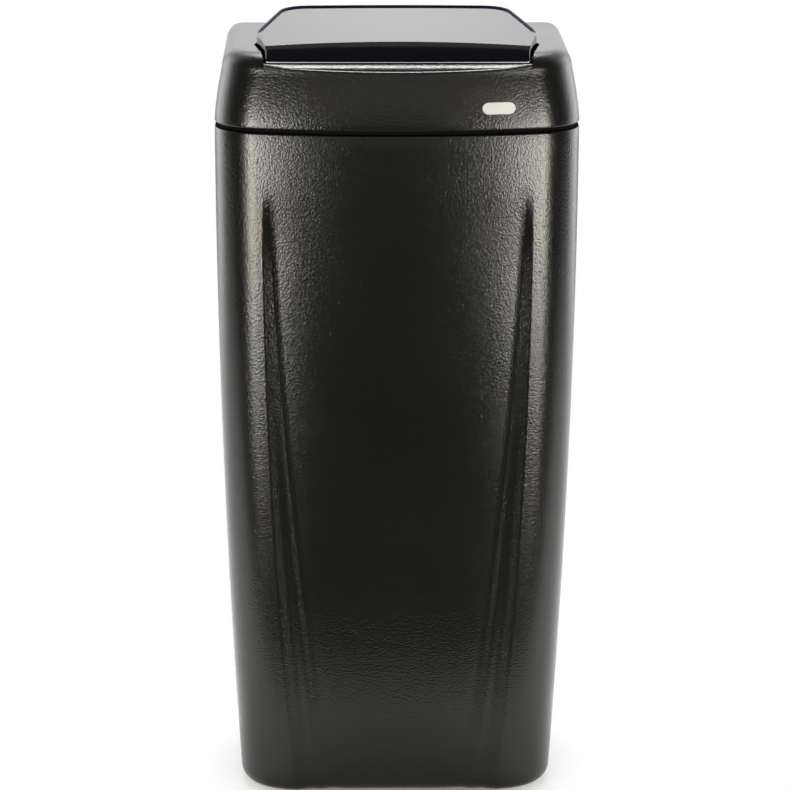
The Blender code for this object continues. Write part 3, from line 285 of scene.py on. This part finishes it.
def block(name, low, high):
    corners = [(low[0], low[1]), (high[0], low[1]), (high[0], high[1]), (low[0], high[1])]
    return loft(name, [at_height(corners, low[2]), at_height(corners, high[2])])


def rod(name, radius, start, end, sides=40):
    made = bmesh.new()
    start, end = Vector(start), Vector(end)
    turn = (end - start).to_track_quat("Z", "Y").to_matrix().to_4x4()
    place = Matrix.Translation((start + end) / 2 + Vector((0, 0, BASE_Z))) @ turn
    bmesh.ops.create_cone(
        made, cap_ends=True, segments=sides, radius1=radius, radius2=radius,
        depth=(end - start).length, matrix=place,
    )
    mesh = bpy.data.meshes.new(name)
    made.to_mesh(mesh)
    made.free()
    obj = bpy.data.objects.new(name, mesh)
    bpy.context.scene.collection.objects.link(obj)
    return obj


def boolean(target, operation, tools):
    """Applies each tool to the target at once and removes the tool."""
    for tool in tools:
        change = target.modifiers.new(tool.name, "BOOLEAN")
        change.operation = operation
        change.solver = "EXACT"
        change.object = tool
    bpy.context.view_layer.update()
    graph = bpy.context.evaluated_depsgraph_get()
    mesh = bpy.data.meshes.new_from_object(target.evaluated_get(graph))
    target.modifiers.clear()
    target.data = mesh
    for tool in tools:
        bpy.data.objects.remove(tool)


def smooth(obj, degrees=32):
    obj.data.shade_smooth()
    obj.data.set_sharp_from_angle(angle=math.radians(degrees))


def soften(obj, width, degrees=38, segments=3):
    """Rounds the sharp edges of a finished piece."""
    change = obj.modifiers.new("softened_edges", "BEVEL")
    change.width = width
    change.segments = segments
    change.limit_method = "ANGLE"
    change.angle_limit = math.radians(degrees)
    change.harden_normals = True
    change.use_clamp_overlap = True


# Body


def body_rings():
    rings = []
    for rise, draw_in in reversed(fillet(BASE_FILLET)):
        rings.append(at_height(section(BASE_FILLET - rise, draw_in), BASE_FILLET - rise))
    edge = BODY_HEIGHT - EDGE_ROUND
    for step in range(1, BODY_LEVELS + 1):
        z = BASE_FILLET + (FLUTE_TOP - BASE_FILLET) * step / BODY_LEVELS
        rings.append(at_height(section(z), z))
    for step in range(1, BODY_TOP_LEVELS + 1):
        z = FLUTE_TOP + (edge - FLUTE_TOP) * step / BODY_TOP_LEVELS
        rings.append(at_height(section(z), z))
    for rise, draw_in in fillet(EDGE_ROUND, EDGE_STEPS)[1:]:
        rings.append(at_height(section(edge, draw_in), edge + rise))
    lip_top = BODY_HEIGHT + LIP_HEIGHT
    rings.append(at_height(section(SEAM_HEIGHT, LIP_SET_IN), BODY_HEIGHT))
    rings.append(at_height(section(SEAM_HEIGHT, LIP_SET_IN), lip_top))
    band = BODY_HEIGHT - RIM_BAND
    rings += [at_height(section(SEAM_HEIGHT, RIM_THICKNESS), z) for z in (lip_top, band)]
    inner_fillet = BASE_FILLET - BODY_WALL
    low = FLOOR_THICKNESS + inner_fillet
    shoulder = band - RIM_CHAMFER
    rings.append(at_height(section(shoulder, BODY_WALL), shoulder))
    for step in range(BODY_INNER_LEVELS, -1, -1):
        z = low + (FLUTE_TOP - low) * step / BODY_INNER_LEVELS
        rings.append(at_height(section(z, BODY_WALL), z))
    for rise, draw_in in fillet(inner_fillet)[1:]:
        rings.append(at_height(section(low - rise, BODY_WALL + draw_in), low - rise))
    return rings


def hook_slot(x):
    (front, back), (low, high) = HOOK_SLOT_Y, HOOK_SLOT_Z
    return block("hook_slot", (x - HOOK_SLOT_HALF, front, low), (x + HOOK_SLOT_HALF, back, high))


def wall_bore(x, z, radius):
    return rod("wall_bore", radius, (x, BORE_Y[0], z), (x, BORE_Y[1], z))


def make_body():
    body = loft("bin_body_skin", body_rings())
    boolean(body, "UNION", [block("back_panel", *BACK_PANEL)])
    cuts = [hook_slot(x) for x in (-HOOK_X, HOOK_X)]
    cuts.append(block("latch_window", *LATCH_WINDOW))
    cuts.append(wall_bore(0, FIXING_BORE_Z, FIXING_BORE_RADIUS))
    for side in (-1, 1):
        cuts.append(wall_bore(side * BRACKET_SCREW_X, BRACKET_SCREW_Z, SCREW_BORE_RADIUS))
        for offset in HINGE_SCREW_OFFSETS:
            cuts.append(wall_bore(side * HINGE_SCREW_X + offset, HINGE_SCREW_Z, SCREW_BORE_RADIUS))
    boolean(body, "DIFFERENCE", cuts)
    smooth(body)
    return body


# Hood


def flap_plan(gap, front):
    """The flap's six-sided outline, widened by a gap and run on to a front line."""
    slope = (FLAP_WIDEST_HALF - FLAP_FRONT_HALF) / (FLAP_FRONT - FLAP_WIDEST)
    right = [
        (FLAP_FRONT_HALF + gap - slope * (front - FLAP_FRONT), -front),
        (FLAP_WIDEST_HALF + gap, -FLAP_WIDEST),
        (FLAP_REAR_HALF + gap, -(FLAP_REAR - gap)),
    ]
    return right + [(-x, y) for x, y in reversed(right)]


def rounded(outline, radii, steps=6, runs=0):
    """An outline with each corner rounded by its own radius, and even points between corners."""
    arcs = []
    count = len(outline)
    for index, radius in enumerate(radii):
        here = Vector(outline[index])
        back = (Vector(outline[index - 1]) - here).normalized()
        ahead = (Vector(outline[(index + 1) % count]) - here).normalized()
        opening = back.angle(ahead)
        reach = radius / math.tan(opening / 2)
        middle = here + (back + ahead).normalized() * radius / math.sin(opening / 2)
        first = here + back * reach - middle
        last = here + ahead * reach - middle
        sweep = first.angle_signed(last)
        arc = []
        for step in range(steps + 1):
            turned = first.copy()
            turned.rotate(Matrix.Rotation(-sweep * step / steps, 2))
            arc.append(middle + turned)
        arcs.append(arc)
    points = []
    for arc, after in zip(arcs, arcs[1:] + arcs[:1]):
        points += arc
        points += [arc[-1].lerp(after[0], step / (runs + 1)) for step in range(1, runs + 1)]
    return [tuple(point) for point in points]


def well(name, gap, front, low, high, corner):
    """A block in the shape of the flap's outline, to cut a recess or to keep material round one."""
    side = WELL_SIDE_CORNER_FACTOR * corner
    radii = [WELL_FRONT_CORNER, side, corner, corner, side, WELL_FRONT_CORNER]
    outline = rounded(flap_plan(gap, front), radii)
    return loft(name, [at_height(outline, low), at_height(outline, high)])


def rim_cutter():
    """What lies over the hood's front rim: a bead along the flap and a slope to the front."""
    rings = []
    high = HOOD_TOP + OVERRUN
    half = FLAP_FRONT_HALF + FLAP_GAP - RIM_CHEEK_MARGIN
    bow_middle = front_at(RIM_BACK_TOP - RIM_BEAD_FALL) + BOW_RADIUS
    for step in range(RIM_STEPS + 1):
        x = half * (2 * step / RIM_STEPS - 1)
        front = bow_middle - math.sqrt(BOW_RADIUS**2 - x**2)
        crest_y = max(LEDGE_BACK - RIM_BEAD_DEPTH, front + RIM_LEAST_DEPTH)
        reach = (LEDGE_BACK - crest_y) / RIM_BEAD_DEPTH
        crest = RIM_BACK_TOP - RIM_BEAD_FALL * reach
        edge_y = front + min(RIM_FRONT_ROUND, RIM_ROUND_SHARE * (crest_y - front))
        edge = crest - RIM_TOP_SLOPE * (crest_y - edge_y)
        ring = [(x, front - OVERRUN, edge - RIM_FRONT_ROUND)]
        for part in range(FILLET_STEPS + 1):
            angle = math.pi / 2 * part / FILLET_STEPS
            y = front + (edge_y - front) * (1 - math.cos(angle))
            ring.append((x, y, edge - RIM_FRONT_ROUND * (1 - math.sin(angle))))
        for part in range(BEAD_STEPS + 1):
            share = part / BEAD_STEPS
            bulge = RIM_BEAD_BULGE * reach * share * (1 - share)
            z = crest + RIM_BEAD_FALL * reach * share + bulge
            ring.append((x, crest_y + (LEDGE_BACK - crest_y) * share, z))
        ring += [(x, LEDGE_BACK + OVERRUN, RIM_BACK_TOP), (x, LEDGE_BACK + OVERRUN, high)]
        ring.append((x, front - OVERRUN, high))
        rings.append(ring)
    return loft("rim_cutter", rings)


def hood_outer():
    edge = SEAM_HEIGHT + EDGE_ROUND
    rings = []
    for rise, draw_in in reversed(fillet(EDGE_ROUND, EDGE_STEPS)):
        rings.append(at_height(section(edge, draw_in, HOOD_BACK), edge - rise))
    base = HOOD_TOP - HOOD_FILLET
    for step in range(1, HOOD_LEVELS + 1):
        z = edge + (base - edge) * step / HOOD_LEVELS
        rings.append(at_height(section(z, 0, HOOD_BACK), z))
    for rise, draw_in in fillet(HOOD_FILLET, HOOD_FILLET_STEPS)[1:]:
        rings.append(at_height(section(base, draw_in, HOOD_BACK), base + rise))
    return loft("hood_skin", rings)


def hood_cavity():
    base = HOOD_TOP - HOOD_FILLET
    rings = [at_height(section(SEAM_HEIGHT, HOOD_WALL, HOOD_BACK), SEAM_HEIGHT - OVERRUN)]
    for step in range(HOOD_LEVELS + 1):
        z = SEAM_HEIGHT + (base - SEAM_HEIGHT) * step / HOOD_LEVELS
        rings.append(at_height(section(z, HOOD_WALL, HOOD_BACK), z))
    for rise, draw_in in fillet(HOOD_FILLET - HOOD_WALL)[1:]:
        rings.append(at_height(section(base, HOOD_WALL + draw_in, HOOD_BACK), base + rise))
    return loft("hood_cavity", rings)


def hood_rear_opening():
    front = HOOD_BACK - HOOD_WALL - REAR_RADIUS
    rings = []
    height = HOOD_TOP - REAR_RIM_HEIGHT - SEAM_HEIGHT + OVERRUN
    for step in range(REAR_OPENING_LEVELS + 1):
        z = SEAM_HEIGHT - OVERRUN + height * step / REAR_OPENING_LEVELS
        half = half_width_at(z) - HOOD_WALL - REAR_OPENING_INSET
        corners = [(-half, front), (half, front), (half, OVERRUN), (-half, OVERRUN)]
        rings.append(at_height(corners, z))
    return loft("hood_rear_opening", rings)


def make_hood():
    hood = hood_outer()
    front = DEPTH + OVERRUN
    high = HOOD_TOP + OVERRUN
    cavity = hood_cavity()
    under = RECESS_FLOOR - HOOD_WALL
    around = well("around", FLAP_GAP + HOOD_WALL, front, under, high, WELL_CORNER + HOOD_WALL)
    boolean(cavity, "DIFFERENCE", [around, block("behind_rim", *BEHIND_RIM)])
    boolean(hood, "DIFFERENCE", [cavity, hood_rear_opening()])
    boolean(hood, "DIFFERENCE", [rim_cutter()])
    opening = well("opening", FLAP_GAP, -LEDGE_BACK, under - OVERRUN, high, WELL_CORNER)
    boolean(hood, "DIFFERENCE", [opening])
    smooth(hood)
    return hood


# Flap


def flap_height(x, y):
    """The flap's sloping top, crowned along its front and nearly straight along its rear."""
    along = (y + FLAP_FRONT) / (FLAP_FRONT - FLAP_REAR)
    crown = FLAP_CROWN * (0.5 - (x / FLAP_WIDEST_HALF) ** 2) * (1 - FLAP_CROWN_FADE * along)
    sunk = (LIP_RISE + LIP_CLEARANCE + FLAP_CROWN * (1 - FLAP_CROWN_FADE) / 2) * along
    climb = (FLAP_REAR_HEIGHT - FLAP_FRONT_HEIGHT) * along
    return FLAP_BASE + FLAP_FRONT_HEIGHT + climb + crown - sunk


def lip_rise(y):
    """The low lip that runs round the flap's rear from its widest line."""
    return LIP_RISE * share_of(y, -FLAP_WIDEST, LIP_RUN_OUT - FLAP_WIDEST)


def flap_outline(draw_in, front_step=FLAP_FOOT_STEP):
    """The flap's rounded outline, drawn in by an inset, and at the front by a step as well."""
    radii = [FLAP_FRONT_CORNER, FLAP_SIDE_CORNER, FLAP_REAR_CORNER]
    plan = flap_plan(-draw_in, FLAP_FRONT - front_step - draw_in)
    return rounded(plan, radii + radii[::-1], runs=FLAP_RUNS)


def flap_top_rings(start, drop):
    """Rings from an inset outline in to the middle of the flap's top, lowered by a drop."""
    middle = -(FLAP_FRONT + FLAP_REAR) / 2
    rings = []
    for step in range(FLAP_TOP_RINGS):
        keep = 1 - step / FLAP_TOP_RINGS
        ring = [(x * keep, middle + (y - middle) * keep) for x, y in flap_outline(start)]
        rings.append([(x, y, flap_height(x, y) - drop) for x, y in ring])
    return rings


def make_flap():
    foot = FLAP_BASE + FLAP_FOOT_RISE
    rings = [at_height(flap_outline(0, 0), FLAP_BASE), at_height(flap_outline(0, 0), foot)]
    rings.append(at_height(flap_outline(0), foot + FLAP_FOOT_SLOPE * FLAP_FOOT_STEP))
    for rise, draw_in in fillet(FLAP_EDGE_ROUND, EDGE_STEPS):
        edge = flap_outline(draw_in)
        tops = [flap_height(x, y) + lip_rise(y) - FLAP_EDGE_ROUND + rise for x, y in edge]
        rings.append([(x, y, top) for (x, y), top in zip(edge, tops)])
    inner = FLAP_EDGE_ROUND + LIP_WIDTH
    rings.append([(x, y, flap_height(x, y) + lip_rise(y)) for x, y in flap_outline(inner)])
    flap = loft("flap_skin", rings + flap_top_rings(inner + FLAP_EDGE_ROUND, 0))
    under = flap_top_rings(FLAP_WALL, FLAP_WALL)
    under.insert(0, at_height(flap_outline(FLAP_WALL), FLAP_BASE - OVERRUN))
    boolean(flap, "DIFFERENCE", [loft("flap_hollow", under)])
    smooth(flap, degrees=30)
    return flap


# Materials

FINE_DETAIL = 2
BROAD_SCALE = 9
BROAD_DETAIL = 3


def grained(
    name, colour, roughness, metallic=0, scale=800, bump=0.00006,
    spread=0.15, rough_spread=0.06, specular=0.5,
):
    """A surface whose colour, roughness and height vary with a fine grain and a broad mottle."""
    made = bpy.data.materials.new(name)
    made.use_nodes = True
    nodes, links = made.node_tree.nodes, made.node_tree.links
    shader = nodes["Principled BSDF"]
    shader.inputs["Metallic"].default_value = metallic
    shader.inputs["Specular IOR Level"].default_value = specular
    place = nodes.new("ShaderNodeTexCoord")
    fine = nodes.new("ShaderNodeTexNoise")
    fine.inputs["Scale"].default_value = scale
    fine.inputs["Detail"].default_value = FINE_DETAIL
    broad = nodes.new("ShaderNodeTexNoise")
    broad.inputs["Scale"].default_value = BROAD_SCALE
    broad.inputs["Detail"].default_value = BROAD_DETAIL
    links.new(place.outputs["Object"], fine.inputs["Vector"])
    links.new(place.outputs["Object"], broad.inputs["Vector"])
    tint = nodes.new("ShaderNodeMix")
    tint.data_type = "RGBA"
    tint.inputs[6].default_value = (*[value * (1 - spread) for value in colour], 1)
    tint.inputs[7].default_value = (*[min(value * (1 + spread), 1) for value in colour], 1)
    links.new(fine.outputs["Fac"], tint.inputs["Factor"])
    links.new(tint.outputs[2], shader.inputs["Base Color"])
    span = nodes.new("ShaderNodeMapRange")
    span.inputs["To Min"].default_value = roughness - rough_spread
    span.inputs["To Max"].default_value = roughness + rough_spread
    links.new(broad.outputs["Fac"], span.inputs["Value"])
    links.new(span.outputs["Result"], shader.inputs["Roughness"])
    relief = nodes.new("ShaderNodeBump")
    relief.inputs["Strength"].default_value = 1
    relief.inputs["Distance"].default_value = bump
    links.new(fine.outputs["Fac"], relief.inputs["Height"])
    links.new(relief.outputs["Normal"], shader.inputs["Normal"])
    return made


TEXTURED = grained(
    "pebbled_black", (0.0065, 0.0068, 0.0058), 0.2, scale=600, bump=0.0003, spread=0.5,
)
GLOSS = grained(
    "gloss_black", (0.003, 0.003, 0.006), 0.07, scale=60, bump=0.00001, rough_spread=0.02,
)
MOULDED = grained("moulded_black", (0.015, 0.015, 0.015), 0.55, scale=1200)
BUSH = grained("acetal", (0.75, 0.74, 0.7), 0.42, scale=1500, bump=0.00001, spread=0.03)
RUBBER = grained("rubber", (0.02, 0.02, 0.02), 0.8, scale=1600, bump=0.0001)
ZINC = grained(
    "zinc_plate", (0.55, 0.56, 0.57), 0.4, metallic=1, scale=180, bump=0.00001, spread=0.12,
)
STEEL = grained(
    "bright_plate", (0.62, 0.62, 0.63), 0.26, metallic=1, scale=900, bump=0.00001, spread=0.05,
)
SEAM_SHADE = grained("seam_shade", (0.003, 0.003, 0.003), 0.8, scale=620, specular=0.05)
# Painted shade: a navy-tinted dark with almost no specular, laid on the flap's rear lip to stand
# for the shadow of the gap beside it.
NAVY_PAINTED_SHADE = grained("navy_painted_shade", (0.008, 0.009, 0.03), 0.5, scale=60, bump=0.00001, specular=0.08)
BADGE = grained("badge_satin", (0.62, 0.62, 0.6), 0.35, scale=500, bump=0.00001, spread=0.06)
BY_SLOT = {
    "textured_black_plastic": TEXTURED,
    "gloss_black_acrylic": GLOSS,
    "moulded_black_plastic": MOULDED,
    "acetal_bush": BUSH,
    "black_rubber": RUBBER,
    "galvanised_steel": ZINC,
    "bright_steel": STEEL,
    "badge_grey": BADGE,
}


def dress(obj, slot):
    obj.data.materials.clear()
    obj.data.materials.append(BY_SLOT[slot])


for entry in frame["record"]["subparts"]:
    dress(NODES[entry["node"]], entry["material_slot"])


def dress_faces(obj, material, chosen):
    """Gives a second material to the faces whose middle is chosen, in heights above the base."""
    obj.data.materials.append(material)
    for face in obj.data.polygons:
        x, y, z = face.center
        if chosen(x, y, z - BASE_Z):
            face.material_index = len(obj.data.materials) - 1


def in_seam(x, y, z):
    return z > BODY_HEIGHT - EDGE_ROUND / 4


# Chooses the faces of the flap's rear lip that get the painted shade.
def on_lip(x, y, z):
    return y > -FLAP_WIDEST and z > flap_height(x, y) + FLAP_EDGE_ROUND / 4


def place_piece(obj, body, node, slot):
    dress(obj, slot)
    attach(obj, body)
    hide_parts(node)


body_piece = make_body()
place_piece(body_piece, "bin_body", "body_shell", "textured_black_plastic")
dress_faces(body_piece, SEAM_SHADE, in_seam)
hood_piece = make_hood()
soften(hood_piece, HOOD_SOFTENED)
place_piece(hood_piece, "hood", "hood_shell", "textured_black_plastic")
flap_piece = make_flap()
place_piece(flap_piece, "flap", "flap_panel", "gloss_black_acrylic")
# The flap's rear lip gets the painted shade.
dress_faces(flap_piece, NAVY_PAINTED_SHADE, on_lip)


# Floor, world, lamps and camera

FLOOR_FRONT_REACH = 0.45
FLOOR_REACH = 4.5
FLOOR_HALF_WIDTH = 3.2
FLOOR_Z = -0.012, -0.0015
FLOOR_COLOUR = (0.9, 0.9, 0.9, 1)
FLOOR_ROUGHNESS = 0.9
FLOOR_FADE = 0.1, 0.2
BIN_MIDDLE_Y = -0.12
HOOD_MIDDLE = (0, -0.15, 0.27)
WORLD_FADE_END = 0.4
WORLD_FRONT_STRENGTH = 0.05
FRONT_LAMP_AZIMUTH = 38
FRONT_LAMP_DISTANCE = 2
WHITE = (1, 1, 1)
WARM = (1, 0.96, 0.87)
PHOTO_PIXELS = 790
SENSOR_WIDTH = 36
CAMERA_FOCAL_PIXELS = 3553.07
CAMERA_DISTANCE = 3.339
CAMERA_AZIMUTH = -1.07
CAMERA_ELEVATION = 14.04
CAMERA_ROLL = 0.127
CAMERA_TARGET = (-0.00022, -0.128, -0.0653)


def make_floor():
    """A pale floor that keeps the shadow close to the base and runs out to white."""
    outline = []
    for index in range(FLOOR_SIDES):
        angle = math.tau * index / FLOOR_SIDES
        reach = FLOOR_FRONT_REACH if math.sin(angle) < 0 else FLOOR_REACH
        outline.append((FLOOR_HALF_WIDTH * math.cos(angle), reach * math.sin(angle)))
    floor = loft("floor", [at_height(outline, z) for z in FLOOR_Z])
    pale = bpy.data.materials.new("pale_floor")
    pale.use_nodes = True
    nodes, links = pale.node_tree.nodes, pale.node_tree.links
    shader = nodes["Principled BSDF"]
    shader.inputs["Base Color"].default_value = FLOOR_COLOUR
    shader.inputs["Roughness"].default_value = FLOOR_ROUGHNESS
    place = nodes.new("ShaderNodeTexCoord")
    offset = nodes.new("ShaderNodeVectorMath")
    offset.operation = "ADD"
    offset.inputs[1].default_value = (0, -BIN_MIDDLE_Y, -BASE_Z)
    far = nodes.new("ShaderNodeVectorMath")
    far.operation = "LENGTH"
    fade = nodes.new("ShaderNodeMapRange")
    fade.interpolation_type = "SMOOTHSTEP"
    fade.inputs["From Min"].default_value, fade.inputs["From Max"].default_value = FLOOR_FADE
    rays = nodes.new("ShaderNodeLightPath")
    share = nodes.new("ShaderNodeMath")
    share.operation = "MULTIPLY"
    white = nodes.new("ShaderNodeEmission")
    both = nodes.new("ShaderNodeMixShader")
    links.new(place.outputs["Object"], offset.inputs[0])
    links.new(offset.outputs["Vector"], far.inputs[0])
    links.new(far.outputs["Value"], fade.inputs["Value"])
    links.new(fade.outputs["Result"], share.inputs[0])
    links.new(rays.outputs["Is Camera Ray"], share.inputs[1])
    links.new(share.outputs[0], both.inputs[0])
    links.new(shader.outputs[0], both.inputs[1])
    links.new(white.outputs[0], both.inputs[2])
    links.new(both.outputs[0], nodes["Material Output"].inputs["Surface"])
    floor.data.materials.append(pale)


def make_world():
    """White behind the bin and for the camera, nearly dark beside the bin and in front of it."""
    world = bpy.data.worlds.new("studio")
    bpy.context.scene.world = world
    world.use_nodes = True
    nodes, links = world.node_tree.nodes, world.node_tree.links
    place = nodes.new("ShaderNodeTexCoord")
    axes = nodes.new("ShaderNodeSeparateXYZ")
    links.new(place.outputs["Generated"], axes.inputs["Vector"])
    depth = nodes.new("ShaderNodeMapRange")
    depth.inputs["From Max"].default_value = WORLD_FADE_END
    depth.inputs["To Min"].default_value = WORLD_FRONT_STRENGTH
    links.new(axes.outputs["Y"], depth.inputs["Value"])
    rays = nodes.new("ShaderNodeLightPath")
    shown = nodes.new("ShaderNodeMath")
    shown.operation = "MAXIMUM"
    links.new(rays.outputs["Is Camera Ray"], shown.inputs[0])
    links.new(depth.outputs["Result"], shown.inputs[1])
    backdrop = nodes["Background"]
    backdrop.inputs["Color"].default_value = (1, 1, 1, 1)
    links.new(shown.outputs[0], backdrop.inputs["Strength"])


def lamp(name, place, target, width, height, glow, colour=WHITE):
    """A soft rectangular lamp; glow is how bright its face looks, where 1 is white."""
    light = bpy.data.lights.new(name, "AREA")
    light.shape = "RECTANGLE"
    light.size = width
    light.size_y = height
    light.energy = glow * math.pi * width * height
    light.color = colour
    obj = bpy.data.objects.new(name, light)
    bpy.context.scene.collection.objects.link(obj)
    obj.location = place
    obj.rotation_euler = (Vector(target) - Vector(place)).to_track_quat("-Z", "Y").to_euler()
    obj.visible_camera = False


def make_lamps():
    angle = math.radians(FRONT_LAMP_AZIMUTH)
    front_y = BIN_MIDDLE_Y - FRONT_LAMP_DISTANCE * math.cos(angle)
    for side, name in ((-1, "left"), (1, "right")):
        lamp(
            f"{name}_front", (side * FRONT_LAMP_DISTANCE * math.sin(angle), front_y, -0.08),
            (0, BIN_MIDDLE_Y, -0.05), width=0.6, height=0.8, glow=19, colour=WARM,
        )
        lamp(
            f"{name}_back", (side * 1.7, 1.1, 0.2),
            (0, BIN_MIDDLE_Y, 0), width=1.2, height=1.8, glow=2.2,
        )
    lamp(
        "hood_fill", (0, -2.1, 0.58), (0, -0.2, 0.25), width=1.8, height=0.6, glow=0.6, colour=WARM,
    )
    lamp("back", (0, 2.2, 1.1), HOOD_MIDDLE, width=2.6, height=1.0, glow=0.6)
    lamp("back_overhead", (0, 0.97, 1.95), HOOD_MIDDLE, width=2.0, height=0.85, glow=3.6)
    lamp("overhead", (0, 0.25, 1.9), HOOD_MIDDLE, width=1.0, height=0.8, glow=18)


def make_camera():
    """The photograph's camera, fitted to measured points of the bin."""
    azimuth, elevation = math.radians(CAMERA_AZIMUTH), math.radians(CAMERA_ELEVATION)
    back = Vector((
        math.sin(azimuth) * math.cos(elevation),
        -math.cos(azimuth) * math.cos(elevation),
        math.sin(elevation),
    ))
    data = bpy.data.cameras.new("photo_view")
    data.sensor_width = SENSOR_WIDTH
    data.lens = CAMERA_FOCAL_PIXELS / PHOTO_PIXELS * SENSOR_WIDTH
    camera = bpy.data.objects.new("photo_view", data)
    bpy.context.scene.collection.objects.link(camera)
    camera.location = Vector(CAMERA_TARGET) + back * CAMERA_DISTANCE
    roll = Matrix.Rotation(math.radians(CAMERA_ROLL), 3, "Z").to_quaternion()
    camera.rotation_euler = ((-back).to_track_quat("-Z", "Y") @ roll).to_euler()
    bpy.context.scene.camera = camera


make_floor()
make_world()
make_lamps()
make_camera()
bpy.context.scene.view_settings.view_transform = "Standard"
